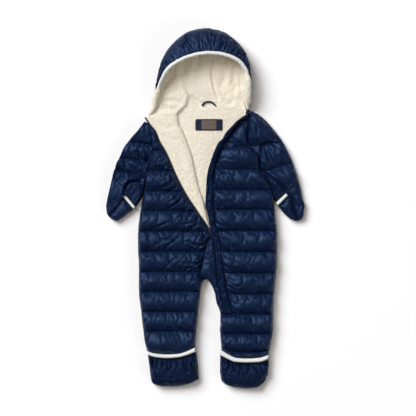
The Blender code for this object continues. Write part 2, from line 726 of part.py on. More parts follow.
def build_zip_and_facing():
    """The zip tape on the right front's edge, and the fleece facing that is sewn behind it."""
    rows, _ = right_rows()
    rows = rows[rows > -58]
    y = np.array([200.5, 196, 190, *rows])
    edge = across(ZIP_EDGE, y)
    grid = patch(edge - ZIP_WIDTH, edge - SEAM, y, 0 * y, (0, 0.5, 1))
    sheet("zip_right", [grid], crowned(BACK_TOP, ZIP_HEIGHT), BACK_TOP + SEAM, "tape")

    y = np.array([199.4, 190, *rows[rows > -42]])
    left = across(ZIP_EDGE, y) + SEAM
    left[0] = -124.2
    right = np.minimum(across(FACING_EDGE, y), across(PLACKET_LEFT, y) - 2 * SEAM)
    grid = patch(left, right, y, 0 * y, (0, 0.04, 0.15, 0.4, 0.7, 0.9, 0.97, 1))
    grid[1] = bend_to(grid[0], grid[1], NECK, 200.2, 165.0)
    sheet("facing_right", [grid], crowned(BACK_TOP + SEAM, FACING_HEIGHT), BACK_TOP + SEAM, "cream")


# Sleeves and mittens --------------------------------------------------------------------------------

SLEEVE_COLUMNS = (0, 0.015, 0.06, 0.13, 0.24, 0.35, 0.46)
CUFF_COLUMNS = (0.7, 0.82, 0.92, 0.985, 1)
PALM_COLUMNS = (0, 0.33, 0.67, 1)
BAND_COLUMNS = (0, 0.15, 0.5, 0.85, 1)


def sleeve_patches(sleeve, hand, armhole, at, fullness, hand_at, corner):
    """The sleeve down to its cuff line, and the hand's back that runs on from its outer part."""
    main_columns = np.array([*SLEEVE_COLUMNS, corner, *CUFF_COLUMNS])
    main = ladder(sleeve, at, fullness, main_columns, armhole=armhole)
    hand_columns = np.array([*SLEEVE_COLUMNS, corner]) / corner
    back_of_hand = ladder(hand, hand_at, HAND_FULLNESS + 0 * hand_at, hand_columns)
    for own, shared in zip(back_of_hand, main):
        own[0] = shared[-1][: len(hand_columns)]
    return [main, back_of_hand]


def fold_depth(p, folds):
    """How deep the creases are at each point: each fold is its points, its depth and half-width."""
    depth = np.zeros(len(p))
    for line, deep, half in folds:
        d = distance_to(p, np.array(line, dtype=float), closed=False)
        depth = np.maximum(depth, deep * np.exp(-((d / half) ** 2)))
    return depth


RIGHT_FOLDS = (
    (((-178, 33), (-174, 50), (-155, 61), (-133, 58)), 8.0, 5.0),
    (((-147, 121), (-135, 94), (-131, 62)), 5.0, 5.0),
    (((-170, 75), (-150, 70), (-134, 61)), 4.0, 5.0),
)
LEFT_FOLDS = (
    (((118, 90), (133, 78), (154, 62), (178, 38)), 8.0, 5.0),
    (((101, 132), (116, 112)), 3.0, 6.0),
)


def corner_share(sleeve, hand):
    """How far along the cuff line the cuff binding starts."""
    a = np.array([sleeve["ax"][-1], sleeve["ay"][-1]])
    b = np.array([sleeve["bx"][-1], sleeve["by"][-1]])
    c = np.array([hand["bx"][0], hand["by"][0]])
    return float(np.linalg.norm(c - a) / np.linalg.norm(b - a))


def build_sleeve(side, armhole, sleeve, hand, mitten, cuff, stitches, folds):
    """A sleeve's back and front, the mitten flap over its hand, and the binding on the flap's edge."""
    corner = corner_share(sleeve, hand)
    last = sleeve["s"][-1]
    at, fullness = quilted_rows(stitches, 0.0, last)
    hand_at = np.linspace(0, hand["s"][-1], 13)
    front = sleeve_patches(sleeve, hand, armhole, at, fullness, hand_at, corner)
    plain = quilted(SLEEVE_STITCH, SLEEVE_PUFF, SLEEVE_ROUND, SLEEVE_BACK_TOP + SEAM)

    def height(p, full, edge):
        z = plain(p, full, edge)
        low = SLEEVE_BACK_TOP + SEAM + EDGE
        return np.maximum(z - fold_depth(p, folds) * rounded(edge, FOLD_ROUND), low)

    sheet(f"sleeve_{side}_front", front, height, SLEEVE_BACK_TOP + SEAM, "navy")

    low_at = np.linspace(0, last, 17)
    outer = ladder(sleeve, low_at, 0 * low_at, PALM_COLUMNS, armhole=armhole)
    names = ("hx", "hy", "mx", "my")
    reach = np.linspace(0, 1, 8)
    hand_reach = reach * hand["s"][-1]
    palm = {"s": reach}
    palm["hx"] = smooth(hand["s"], hand["ax"], hand_reach)
    palm["hy"] = smooth(hand["s"], hand["ay"], hand_reach)
    flap_reach = np.clip(reach * 1.15 - 0.15, 0, 1) * mitten["s"][-1]
    palm["mx"] = smooth(mitten["s"], mitten["bx"], flap_reach)
    palm["my"] = smooth(mitten["s"], mitten["by"], flap_reach)
    palm["mx"][0] = sleeve["bx"][-1]
    palm["my"][0] = sleeve["by"][-1]
    under = ladder(palm, reach, 0 * reach, PALM_COLUMNS, names)
    sheet(f"sleeve_{side}_back", [outer, under],
          lambda p, f, e: SLEEVE_BACK_TOP - CUFF_DROP * (1 - rounded(e, CUFF_RADIUS)), 0.0, "navy",
          skirt=SLEEVE_SKIRT)

    flap_at = np.linspace(0, mitten["s"][-1], 9)
    flap = ladder(mitten, flap_at, MITTEN_FULLNESS + 0 * flap_at, FLAP_COLUMNS)
    floor = SLEEVE_BACK_TOP + SEAM
    sheet(f"mitten_{side}", [flap], quilted(SLEEVE_STITCH, MITTEN_PUFF, MITTEN_ROUND, floor), floor, "navy")

    band_at = np.linspace(0, 1, 5)
    band = ladder(cuff, band_at, 0 * band_at, BAND_COLUMNS)
    sheet(f"cuff_binding_{side}", [band], crowned(SLEEVE_BACK_TOP, CUFF_BAND), floor, "white")


# Feet -----------------------------------------------------------------------------------------------


def build_foot(side, foot):
    """The foot flap drawn over the leg's end, gathered into its white binding."""
    per_gather = 2
    at = np.linspace(0, foot["s"][-1], FOOT_GATHERS * per_gather + 1)
    wave = 0.5 - 0.5 * np.cos(2 * np.pi * np.arange(len(at)) / per_gather)
    down = (0, 0.05, 0.16, 0.4, 0.7, 0.93, 1)
    flap = ladder(foot, at, wave, down, ("low_x", "low_y", "toe_x", "toe_y"))
    fade = np.array([1, 1, 0.9, 0.6, 0.25, 0.05, 0])
    flap[2] = flap[2] * fade[None, :]
    floor = BACK_TOP + SEAM

    def height(p, gather, edge):
        gathered = FOOT_GATHER_HEIGHT * gather * rounded(edge, FOOT_GATHER_ROUND)
        return floor + EDGE + FOOT_PUFF * rounded(edge, FOOT_ROUND) + gathered

    sheet(f"foot_{side}", [flap], height, floor, "navy")
    band_at = np.linspace(0, foot["s"][-1], 19)
    band = ladder(foot, band_at, 0 * band_at, (0.03, 0.16, 0.5, 0.84, 0.96),
                  ("top_x", "top_y", "low_x", "low_y"))
    sheet(f"foot_binding_{side}", [band], crowned(floor, FOOT_BAND), floor, "white")


# Hood -----------------------------------------------------------------------------------------------

FLOOR_ROWS = (0.0, 0.45, 1.0)
LOW_ROWS = (0.3, 0.62, 1.0)
HIGH_ROWS = (0.34, 0.67, 1.0)


def hood_surface(at):
    """The hood's outer surface and its direction up the wall: at each place round it, points from
    the neck seam along the floor to the wall's foot, up and out to its widest line, and up and in
    to the brim."""
    h = {name: smooth(HOOD["s"], HOOD[name], at) for name in HOOD}
    wide = np.stack([h["wx"], h["wy"]], axis=1)
    brim = np.stack([h["bx"], h["by"]], axis=1)
    inward = np.array(HOOD_MIDDLE) - wide
    inward /= np.linalg.norm(inward, axis=1, keepdims=True)
    foot = wide + inward * h["foot"][:, None]
    neck = np.stack([foot[:, 0], smooth(NECK["x"], NECK["y"], foot[:, 0]) + 2 * SEAM], axis=1)
    curl = np.radians(h["curl"])
    rows, climb = [], []
    for t in FLOOR_ROWS:
        rows.append(np.column_stack([neck + (foot - neck) * t, 0 * at]))
        climb.append(np.column_stack([foot - neck, 0 * at]))
    for t in LOW_ROWS:
        turn = t * np.pi / 2
        plan = wide + (foot - wide) * (1 - np.sin(turn))
        rows.append(np.column_stack([plan, h["wide_z"] * (1 - np.cos(turn))]))
        climb.append(np.column_stack([(wide - foot) * np.cos(turn), h["wide_z"] * np.sin(turn)]))
    for t in HIGH_ROWS:
        reach = brim - wide
        rise = h["brim_z"] - h["wide_z"]
        turn = t * curl
        plan = wide + reach * ((1 - np.cos(turn)) / (1 - np.cos(curl)))[:, None]
        rows.append(np.column_stack([plan, h["wide_z"] + rise * np.sin(turn) / np.sin(curl)]))
        climb.append(np.column_stack([
            reach * (np.sin(turn) / (1 - np.cos(curl)))[:, None],
            rise * np.cos(turn) / np.sin(curl),
        ]))
    return np.stack(rows), np.stack(climb)


def outward(climb, at):
    """Unit normals of the hood's surface, out of the hood and down below its floor."""
    nudge = 0.02
    sideways = hood_surface(at + nudge)[0] - hood_surface(at - nudge)[0]
    normal = np.cross(climb, sideways)
    normal /= np.maximum(np.linalg.norm(normal, axis=-1, keepdims=True), 1e-9)
    floor = len(FLOOR_ROWS)
    normal[:floor] = (0, 0, -1)
    return normal


def build_hood():
    """The hood's shell of a middle strip and two sides, the same three in fleece, and its binding."""
    ends = (0.0, *HOOD_SEAMS, HOOD["s"][-1])
    names = ("side_right", "centre", "side_left")
    row_share = np.arange(len(FLOOR_ROWS)) / (len(FLOOR_ROWS) - 1)
    count = len(FLOOR_ROWS) + len(LOW_ROWS) + len(HIGH_ROWS)
    shell_depth = np.full(count, HOOD_SHELL)
    shell_depth[: len(FLOOR_ROWS)] = RECESS + (HOOD_SHELL - RECESS) * row_share
    wall_depth = np.full(count, HOOD_WALL)
    wall_depth[: len(FLOOR_ROWS)] = BACK_TOP + (HOOD_WALL - BACK_TOP) * row_share
    gather_fade = np.zeros(count)
    gather_fade[-len(HIGH_ROWS) :] = (0.7, 1.0, 0.8)
    pitch = ends[-1] / HOOD_GATHERS
    for name, start, end in zip(names, ends, ends[1:]):
        gap = 0.012
        a = start + (gap if start > 0 else 0)
        b = end - (gap if end < ends[-1] else 0)
        creases = np.arange(0, ends[-1], pitch / 2)
        inside = (creases > a + pitch / 8) & (creases < b - pitch / 8)
        at = np.array([a, *creases[inside], b])
        surface, climb = hood_surface(at)
        normal = outward(climb, at)
        wave = 0.5 - 0.5 * np.cos(2 * np.pi * at / pitch)
        strength = np.clip(np.minimum(at - 1.5, 14.5 - at) / 2, 0, 1)
        raised = GATHER_HEIGHT * wave * strength * gather_fade[:, None]
        outer = surface + normal * raised[..., None]
        thin = np.ones((count, len(at)))
        thin[len(FLOOR_ROWS) - 1 :] = smooth(HOOD["s"], HOOD["thin"], at)
        inner = surface - normal * (shell_depth[:, None] * thin)[..., None]
        wall(f"hood_{name}", outer, inner, "navy")
        outer = surface - normal * (shell_depth[:, None] * thin + LINING_GAP)[..., None]
        inner = surface - normal * (wall_depth[:, None] * thin)[..., None]
        wall(f"hood_lining_{name}", outer, inner, "cream")
    build_hood_binding(ends[-1])


def build_hood_binding(last):
    """The white binding over the brim's edge, from shoulder to shoulder."""
    at = np.linspace(0, last, 2 * HOOD_GATHERS + 1)
    surface, climb = hood_surface(at)
    normal = outward(climb, at)[-1]
    along = climb[-1].copy()
    along /= np.linalg.norm(along, axis=1, keepdims=True)
    thin = smooth(HOOD["s"], HOOD["thin"], at)[:, None]
    section = (
        (1.4, 0.4), (5.5, 0.8), (HOOD_BINDING, -BINDING_OVERHANG),
        (HOOD_BINDING, -HOOD_WALL + BINDING_OVERHANG), (5.5, -HOOD_WALL - 0.3), (1.4, -HOOD_WALL),
    )
    rings = np.stack([surface[-1] + along * out + normal * up * thin for out, up in section], axis=1)
    tube("hood_binding", rings, "white")


# Small trim -----------------------------------------------------------------------------------------


def plate(name, centre, size, floor, cloth):
    """A flat rectangle of cloth."""
    x = centre[0] + size[0] * np.array([-0.5, 0.5])
    y = centre[1] + size[1] * np.array([-0.5, 0.5])
    grid = patch(np.array([x[0], x[0]]), np.array([x[1], x[1]]), y, 0 * y, (0, 0.5, 1))
    sheet(name, [grid], lambda p, f, e: np.full(len(p), floor + size[2]), floor, cloth)


def build_loop():
    """The hanger loop: a tape bent into an arch on the hood's lining."""
    at = np.linspace(0, LOOP["s"][-1], 15)
    line = np.stack([smooth(LOOP["s"], LOOP["x"], at), smooth(LOOP["s"], LOOP["y"], at)], axis=1)
    along = np.gradient(line, axis=0)
    along /= np.linalg.norm(along, axis=1, keepdims=True)
    side = np.stack([-along[:, 1], along[:, 0]], axis=1)
    width, thick = LOOP_TAPE
    low = BACK_TOP + SEAM
    rings = []
    for out, z in ((-0.5, low), (0.5, low), (0.5, low + thick * 0.7), (0, low + thick),
                   (-0.5, low + thick * 0.7)):
        rings.append(np.column_stack([line + side * out * width, np.full(len(line), z)]))
    tube("hanger_loop", np.stack(rings, axis=1), "tape")


def main():
    for old in list(bpy.data.objects):
        bpy.data.objects.remove(old, do_unlink=True)
    build_back()
    build_back_lining()
    build_front_right()
    build_front_left()
    build_zip_cover()
    build_gusset()
    build_zip_and_facing()
    build_sleeve("right", ARMHOLE_RIGHT, SLEEVE_RIGHT, HAND_RIGHT, MITTEN_RIGHT, CUFF_RIGHT,
                 SLEEVE_RIGHT_STITCHES, RIGHT_FOLDS)
    build_sleeve("left", ARMHOLE_LEFT, SLEEVE_LEFT, HAND_LEFT, MITTEN_LEFT, CUFF_LEFT,
                 SLEEVE_LEFT_STITCHES, LEFT_FOLDS)
    build_foot("right", FOOT_RIGHT)
    build_foot("left", FOOT_LEFT)
    build_hood()
    plate("neck_label", LABEL_CENTRE, LABEL_SIZE, BACK_TOP + SEAM, "tape")
    plate("label_patch", LABEL_CENTRE, PATCH_SIZE, BACK_TOP + 2 * SEAM + LABEL_SIZE[2], "brown")
    build_loop()


main()
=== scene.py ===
"""Looks of a baby's hooded snowsuit that lies on its back with its front opened to one side.

Sizes are in millimetres in the suit's pattern until a mesh is made. X runs across the suit towards its
wearer's left, Y up to the hood, Z up from the floor. A quilted panel is a grid of rows between two
edges, raised by the down in it, puffed out by a cloth simulation and then creased.
"""

import bmesh
import bpy
import numpy as np
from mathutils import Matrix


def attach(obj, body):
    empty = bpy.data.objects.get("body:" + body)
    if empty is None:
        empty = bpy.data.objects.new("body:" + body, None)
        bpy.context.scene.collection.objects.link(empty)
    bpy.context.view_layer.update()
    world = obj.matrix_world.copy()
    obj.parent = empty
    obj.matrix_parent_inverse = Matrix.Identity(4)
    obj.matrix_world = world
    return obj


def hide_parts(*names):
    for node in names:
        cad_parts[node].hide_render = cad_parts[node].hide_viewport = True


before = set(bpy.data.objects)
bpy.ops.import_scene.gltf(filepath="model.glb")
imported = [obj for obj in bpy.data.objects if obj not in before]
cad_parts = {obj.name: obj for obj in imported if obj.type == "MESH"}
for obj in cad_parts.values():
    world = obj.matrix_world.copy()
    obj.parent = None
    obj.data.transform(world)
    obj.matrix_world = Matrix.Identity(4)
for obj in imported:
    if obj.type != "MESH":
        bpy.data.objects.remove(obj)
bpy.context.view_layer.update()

MM = 0.001

# Where the middle of the whole suit's box lies in the pattern below
CENTRE = (0.02, -0.35)

# The gap between two layers, and the hair's breadth beside a sewn line
SEAM = 0.3
HAIR = 0.08

# Levels of the layers: the back's top and the recess in it for its lining, the sleeves' backs, and
# the width of the back's rim round the recess
BACK_TOP = 12.0
RECESS = 8.0
SLEEVE_BACK_TOP = 8.0
RIM = 7.0
BODY_FLOOR = BACK_TOP + SEAM
SLEEVE_FLOOR = SLEEVE_BACK_TOP + SEAM

# Quilting: height of the stitch lines above a panel's underside, height of the down between them, and
# how far in from its free edges a panel is rounded
BODY_QUILT = (7.2, 8.2, 10.0)
SLEEVE_QUILT = (6.8, 6.6, 10.0)
GUSSET_QUILT = (7.2, 4.1, 10.0)
MITTEN_QUILT = (6.8, 4.0, 9.0)

# A panel's height at its free edges, and the share of the down that is left there. A seam with a
# neighbour lies a little lower than a stitch line and is rounded over a shorter way
EDGE = 2.6
SEAM_DOWN = 0.45
SEAM_DIP = 1.4
SEAM_ROUND = 7.0

# How full the down is at a panel's end that isn't a stitch line, and the power of the arch between two
END_FULLNESS = 0.6
ARCH = 0.55

# The zip's tape; the cover over the zip: its ends, its height at its edges, how much higher it is at
# its middle, and how much more it rolls up along the chest
ZIP_WIDTH = 3.75
COVER_TOP = 210.5
COVER_END = -232.0
COVER_EDGE = 6.4
COVER_RISE = 2.6
COVER_ROLL = 9.0

# Distance between the points of a quilted panel and of the fleece
GRID = 2.3
FLEECE_GRID = 1.7


def table(names, *rows):
    """The named columns of a short table, each as an array."""
    columns = np.array(rows, dtype=float).T
    return dict(zip(names.split(), columns))


# The outline and seams, by height up the suit ------------------------------------------------------

ARMHOLE_RIGHT = table(
    "y x",
    (202, -126.5), (192, -126), (172, -121.7), (140, -117.3), (106, -124),
    (80, -130.5), (51, -132.7), (25, -137),
)
ARMHOLE_LEFT = table(
    "y x",
    (217, 100.4), (205, 98), (173, 94), (152, 92.8), (132, 102.5), (112, 116.4),
    (88, 118.8), (67, 133.5), (45, 144.5), (23, 151),
)
SIDE_RIGHT = table(
    "y x",
    (25, -137), (-14, -143.7), (-58, -148), (-92, -148), (-118, -146), (-180, -146),
    (-223, -141.5), (-263, -137), (-294, -132.7), (-312, -128.3), (-323, -126.1),
    (-354, -122), (-374, -119.3), (-382, -116.5),
)
SIDE_LEFT = table(
    "y x",
    (23, 151), (-14, 153.3), (-58, 157.5), (-118, 157.5), (-162, 153.3), (-223, 149),
    (-267, 148.6), (-303, 142.3), (-321, 139.2), (-350, 139), (-368, 137), (-379, 132),
)
INLEG_RIGHT = table(
    "y x",
    (-156, 2.6), (-157, -2), (-161, -6.2), (-177, -10), (-212, -14.3), (-254, -18.7),
    (-285, -21.6), (-303, -22.7), (-316, -21), (-338, -17.8), (-360, -15.8), (-378, -14.7),
)
INLEG_LEFT = table(
    "y x",
    (-156, 2.6), (-157, 6), (-161, 9.4), (-171, 15.6), (-190, 21.8), (-209, 25.7),
    (-222, 31.3), (-232, 33.2), (-255, 33.7), (-267, 32.4), (-290, 34.5), (-311, 36),
    (-325, 33.6), (-364, 33), (-378, 36.2),
)
NECK = table(
    "x y",
    (-127, 200), (-100, 199), (-75, 202.5), (-50, 209.8), (-22, 215.8), (5, 218.6),
    (43, 217.6), (76, 215.4), (101, 216.2),
)
TOE_RIGHT = table(
    "x y",
    (-120, -377), (-117, -382.5), (-111, -387.4), (-93, -391.3), (-71, -391.5), (-46, -388.5),
    (-26, -381.5), (-14, -375),
)
TOE_LEFT = table(
    "x y",
    (33, -370), (36, -378.5), (45, -386.5), (64, -392.8), (92, -395.8), (112, -393.8),
    (127, -384.6), (133.5, -376), (138, -364),
)
ZIP_EDGE = table(
    "y x",
    (201, -131), (194, -126.9), (185, -120.8), (169.4, -108.5), (148, -99.7), (124, -85.6),
    (97, -73.3), (76, -64.5), (48, -50.4), (23, -36.3), (0, -20.5), (-14.5, -11),
    (-28, -1.3), (-49, 10.8), (-61, 16),
)
FACING_EDGE = table(
    "y x",
    (206, -61), (183, -57.4), (168, -48.6), (140, -38), (115, -29.3), (81, -22.2),
    (44, -13.4), (14.5, -3), (-19, 4.2), (-45, 10.3),
)
PLACKET_LEFT = table(
    "y x",
    (215.6, 99.7), (208.6, 93.1), (202.8, 83.4), (193, 71), (181, 58.7), (167, 46.4),
    (153.6, 37.6), (139.5, 27.1), (117.5, 16.5), (97, 9.5), (84.5, 5.9), (62.5, 2.6),
    (40, 1.5), (7.5, 0), (-14.5, 5.1), (-35, 9), (-53, 13.6), (-69.5, 16.9), (-91.5, 20.5),
    (-109, 22.4), (-124.5, 23.5), (-164, 27.9), (-195, 35), (-221, 38.5), (-233, 41.5),
)
PLACKET_RIGHT = table(
    "y x",
    (213.5, 100.1), (199, 89.5), (188, 76.3), (177, 66.4), (162.6, 55.4), (149.4, 46.6),
    (135, 36.7), (115.3, 27.9), (95.5, 22.4), (80, 19.8), (51.5, 18), (18.5, 17.6),
    (-3.5, 19.6), (-30.6, 22), (-50.8, 27.7), (-71, 30.8), (-87, 34.1), (-111, 35.6),
    (-134, 40.5), (-160, 43.8), (-186, 49.1), (-208, 54.3), (-233, 59.6),
)
CROTCH_SEAM = table(
    "y x",
    (-60, 14.2), (-68, 7.5), (-80, 1.5), (-96, -2.6), (-113, -6.2), (-131, -10.2),
    (-147, -12.2), (-155, -9),
)
HEM_RIGHT = table(
    "x y",
    (-130, -311), (-126, -312.6), (-112, -318), (-85, -320.3), (-61, -319.2), (-42.5, -314.2),
    (-21, -304.5),
)
HEM_LEFT = table(
    "x y",
    (34, -310), (51.5, -320.3), (68, -327.2), (92, -329), (119, -327.4), (141, -320.8),
)

# Stitch lines across the fronts, by height up the suit
STITCHES_RIGHT = (129, 84, 38.5, -4.6, -49.7, -94.2, -138.4, -182.4, -226.4, -269.7)
STITCHES_LEFT = (136.4, 86.7, 41.4, -1.8, -48.6, -94.8, -141.5, -187.4, -231.9, -275.4, -309.5)

# Sleeves: stations from shoulder to cuff, each a row from its outer edge (ax, ay) to its inner (bx, by)
SLEEVE_RIGHT = table(
    "s ax ay bx by",
    (0, -134.5, 191, -126.6, 188), (1, -148.1, 172.5, -122.4, 173), (2, -166, 152, -118.2, 145),
    (3, -184, 122.5, -121.8, 114), (4, -194, 99.5, -128.2, 90), (5, -199.5, 84, -133.1, 58),
    (6, -202.5, 73, -135.6, 33), (7, -204.3, 66, -152.9, 4),
)
HAND_RIGHT = table(
    "s ax ay bx by",
    (0, -204.3, 66, -174.9, 30.6), (1, -211, 36, -182.4, 24.4), (2, -215, 18.5, -190.2, 12.8),
    (3, -218.3, 5, -197.2, 3.2), (4, -216.5, -11, -204.2, -7), (5, -210.8, -19.5, -208.8, -13.5),
)
MITTEN_RIGHT = table(
    "s ax ay bx by",
    (0, -181.6, 23.6, -159.4, -2.2), (1, -189.4, 12, -171, -11.2), (2, -196.4, 2.4, -183.5, -20.8),
    (3, -203.4, -7.8, -195, -27.3), (4, -208, -14.6, -205.5, -24.3),
)
CUFF_RIGHT = table(
    "s ax ay bx by",
    (0, -174.8, 30, -181.4, 24.5), (0.5, -163.7, 16.9, -170.1, 11.1), (1, -153, 3.4, -158.9, -1.9),
)
SLEEVE_LEFT = table(
    "s ax ay bx by",
    (0, 102.6, 214.4, 100.6, 210), (1, 127, 198.8, 96.4, 186), (2, 152, 171.5, 93.3, 158),
    (3, 172, 144, 101, 134), (4, 183.2, 123, 116.6, 108), (5, 190.6, 105.6, 121, 84),
    (6, 198.6, 84, 134, 62), (7, 203.2, 70, 145.8, 40), (8, 205.6, 60.5, 154.2, 13.6),
)
HAND_LEFT = table(
    "s ax ay bx by",
    (0, 205.6, 60.5, 177.1, 34.5), (1, 210.5, 40.5, 183.4, 27.7), (2, 213.8, 22.9, 191.2, 19.5),
    (3, 218.3, 6, 194.8, 4), (4, 217.1, -5.7, 197.8, -7), (5, 214.7, -19, 201, -17),
    (6, 208, -26.6, 204, -25.4),
)
MITTEN_LEFT = table(
    "s ax ay bx by",
    (0, 182.6, 26.6, 160.9, 4.6), (1, 190.4, 18.6, 170.9, -7.9), (2, 194, 3.4, 181.9, -18.9),
    (3, 197, -7.8, 191, -24.8), (4, 202.6, -26, 199.5, -27.6),
)
CUFF_LEFT = table(
    "s ax ay bx by",
    (0, 154.5, 13.2, 160.4, 5.2), (0.5, 165.8, 23.6, 171.6, 16), (1, 176.9, 33.9, 182.6, 27.4),
)
SLEEVE_RIGHT_STITCHES = (2.1, 3.4, 4.7)
SLEEVE_LEFT_STITCHES = (2.9, 5.2)

# Foot flaps, across the foot: the binding's upper and lower edges and the toe
FOOT_RIGHT = table(
    "s top_x top_y low_x low_y toe_x toe_y",
    (0, -128, -313.2, -126.2, -322.6, -118.5, -378.5),
    (1, -112, -318.3, -110.5, -327.4, -109, -387.8),
    (2, -85, -320.7, -84, -329.8, -84, -391.6),
    (3, -61, -319.6, -59.5, -328, -57, -390.2),
    (4, -42.5, -314.6, -39, -322.6, -34, -384.8),
    (5, -22.4, -305.4, -21.2, -315.4, -15.2, -376),
)
FOOT_LEFT = table(
    "s top_x top_y low_x low_y toe_x toe_y",
    (0, 35.8, -311.4, 34, -323.6, 35.4, -376.5),
    (1, 51.5, -320.7, 49.5, -331.7, 49.5, -388.6),
    (2, 68, -327.7, 66.5, -338.2, 66.5, -393.4),
    (3, 92, -329.5, 92, -339.4, 92, -395.8),
    (4, 119, -327.8, 118, -338.3, 114, -393.2),
    (5, 139, -321.6, 139, -331.4, 137.5, -366),
)

# Hood, round from the suit's right shoulder over the crown to its left one: the widest line (wx, wy),
# how far in its foot lies and how high it is, the brim and its height, how many degrees the wall
# curls in above its widest line, and the share of the wall's full thickness
HOOD = table(
    "s wx wy foot wide_z bx by brim_z curl thin",
    (0, -127.6, 202.2, 7, 12, -126.5, 202.7, 15, 10, 0.6),
    (1, -116.4, 224, 15, 16, -115.4, 225, 21, 12, 0.8),
    (2, -112.4, 246, 20, 21, -111.4, 246.4, 28, 12, 1),
    (3, -106.8, 275, 24, 31, -102.4, 276.5, 41, 25, 1),
    (4, -99, 311, 24, 34, -88, 305.5, 54, 45, 1),
    (5, -86.5, 341, 22, 30, -69, 322, 59, 60, 1),
    (6, -64.5, 367.8, 20, 27, -42.5, 334.8, 62, 70, 1),
    (7, -33.7, 388.5, 18, 25, -17.2, 341.9, 64, 72, 1),
    (8, 1.5, 395.1, 18, 25, 5.9, 344.5, 65, 72, 1),
    (9, 36.7, 388.5, 18, 25, 30.1, 343.2, 64, 72, 1),
    (10, 65.3, 368.7, 20, 27, 54.3, 337.5, 62, 70, 1),
    (11, 83.4, 348.5, 22, 30, 74.1, 327.8, 58, 60, 1),
    (12, 93.7, 324.3, 24.5, 34, 87.4, 314.4, 53, 40, 1),
    (13, 97.7, 300.1, 23.5, 36, 94.6, 300.1, 48, 25, 1),
    (14, 98.5, 272, 22, 34, 97.3, 272, 43, 15, 1),
    (15, 98.3, 245, 17, 26, 97.2, 245, 34, 12, 0.9),
    (16, 98.2, 218.4, 10, 14, 97.2, 218.8, 19, 10, 0.6),
)
HOOD_MIDDLE = (-10.0, 262.0)
HOOD_SEAMS = (6.6, 8.5)
# Millimetres of brim for each step of the hood's table, and the same all round
HOOD_STEP = 40.0
HOOD_RUN = 640.0
# How thick the shell's wall is, and the shell and its lining together
SHELL_WALL = 3.7
HOOD_WALL = 8.3
# How far from the lining's ends the shell stops, in steps of the table
SHELL_BACK = 0.22

# Label on the back lining and its woven patch: width, height and thickness; and the hanger loop above
# them: its line, and its tape's width and thickness
LABEL_CENTRE = (8.0, 183.9)
LABEL_SIZE = (60.0, 25.5, 1.2)
PATCH_SIZE = (33.0, 20.5, 0.8)
LOOP = table(
    "s x y",
    (0, -7.3, 225.4), (1, -3.5, 231), (2, 1.5, 234), (3, 9.5, 234.6), (4, 17, 231.5), (5, 22.2, 226.2),
)
LOOP_TAPE = (3.8, 3.4)
# The folded tape's section in shares of its width and thickness
LOOP_SECTION = ((-0.5, 0), (0.5, 0), (0.55, 0.45), (0.35, 0.85), (0, 1.0), (-0.35, 0.85), (-0.55, 0.45))


# Creases, each a line of points with its depth and half-width -----------------------------------------

FRONT_RIGHT_CREASES = (
    (((-121, 143), (-114, 119), (-123, 94), (-130, 82)), 5.0, 3.2),
    (((-92, 119), (-98, 113), (-105, 106)), 2.4, 2.6),
    (((-110, 80), (-117, 75), (-124, 65)), 2.2, 2.2),
    (((-98, 80), (-108, 70)), 1.6, 2.0),
    (((-93, -33), (-103, -46)), 2.2, 2.4),
    (((-75, -61), (-84, -67), (-97, -68)), 2.4, 2.6),
    (((-46, 5), (-46, -28), (-47, -61), (-50, -94)), 4.0, 2.6),
    (((-50, -56), (-70, -72), (-92, -91)), 3.8, 2.6),
    (((-60, -55), (-86, -68), (-114, -84)), 2.8, 2.4),
    (((-57, -104), (-76, -118), (-92, -136)), 3.2, 2.4),
    (((-44, -104), (-58, -120), (-70, -138)), 2.6, 2.2),
    (((-79, -30), (-98, -37), (-118, -47)), 3.2, 2.6),
    (((-29, -7), (-36, -21), (-43, -38)), 1.8, 2.4),
    (((-14, -21), (-26, -41)), 1.8, 2.4),
    (((-63, -45), (-75, -61)), 1.4, 2.4),
    (((-40, 27), (-36, 14), (-38, 1)), 1.8, 2.6),
)
FRONT_LEFT_CREASES = (
    (((34, 70), (27, 57)), 2.0, 2.4),
    (((56, 16), (39, 10), (25, 13)), 1.8, 3.2),
    (((103, 25), (89, 21), (76, 26)), 1.4, 3.2),
    (((25, -29), (34, -34), (44, -41)), 1.6, 2.6),
    (((26, -50), (37, -61), (45, -76)), 1.6, 2.8),
    (((83, -63), (89, -76)), 1.4, 2.0),
    (((138, -10), (144, -21)), 1.4, 2.0),
    (((109, -52), (116, -67)), 1.2, 2.2),
    (((56, 76), (63, 56), (61, 45)), 1.4, 2.4),
)
SLEEVE_RIGHT_CREASES = (
    (((-179, 32), (-174, 50), (-160, 60), (-137, 60)), 10.5, 2.8),
    (((-150, 124), (-141, 104), (-133, 84)), 8.5, 2.8),
    (((-168, 98), (-154, 84), (-139, 72)), 5.5, 7.5),
    (((-153, 116), (-142, 94), (-133, 70)), 5.5, 7.0),
    (((-134, 128), (-128, 112), (-131, 92)), 6.0, 2.8),
    (((-166, 101), (-158, 88), (-152, 76)), 3.2, 2.4),
    (((-172, 84), (-158, 72), (-140, 66)), 4.2, 2.6),
    (((-141, 53), (-139, 30)), 5.5, 2.8),
    (((-163, 138), (-167, 125), (-162, 108)), 4.2, 2.4),
    (((-176, 104), (-174, 89)), 1.6, 2.4),
    (((-179, 18), (-180, 5), (-183, -9)), 2.0, 2.2),
    (((-203, -9), (-194, 5), (-184, 20)), 2.4, 2.0),
    (((-190, 71), (-179, 67), (-166, 69)), 1.6, 3.0),
)
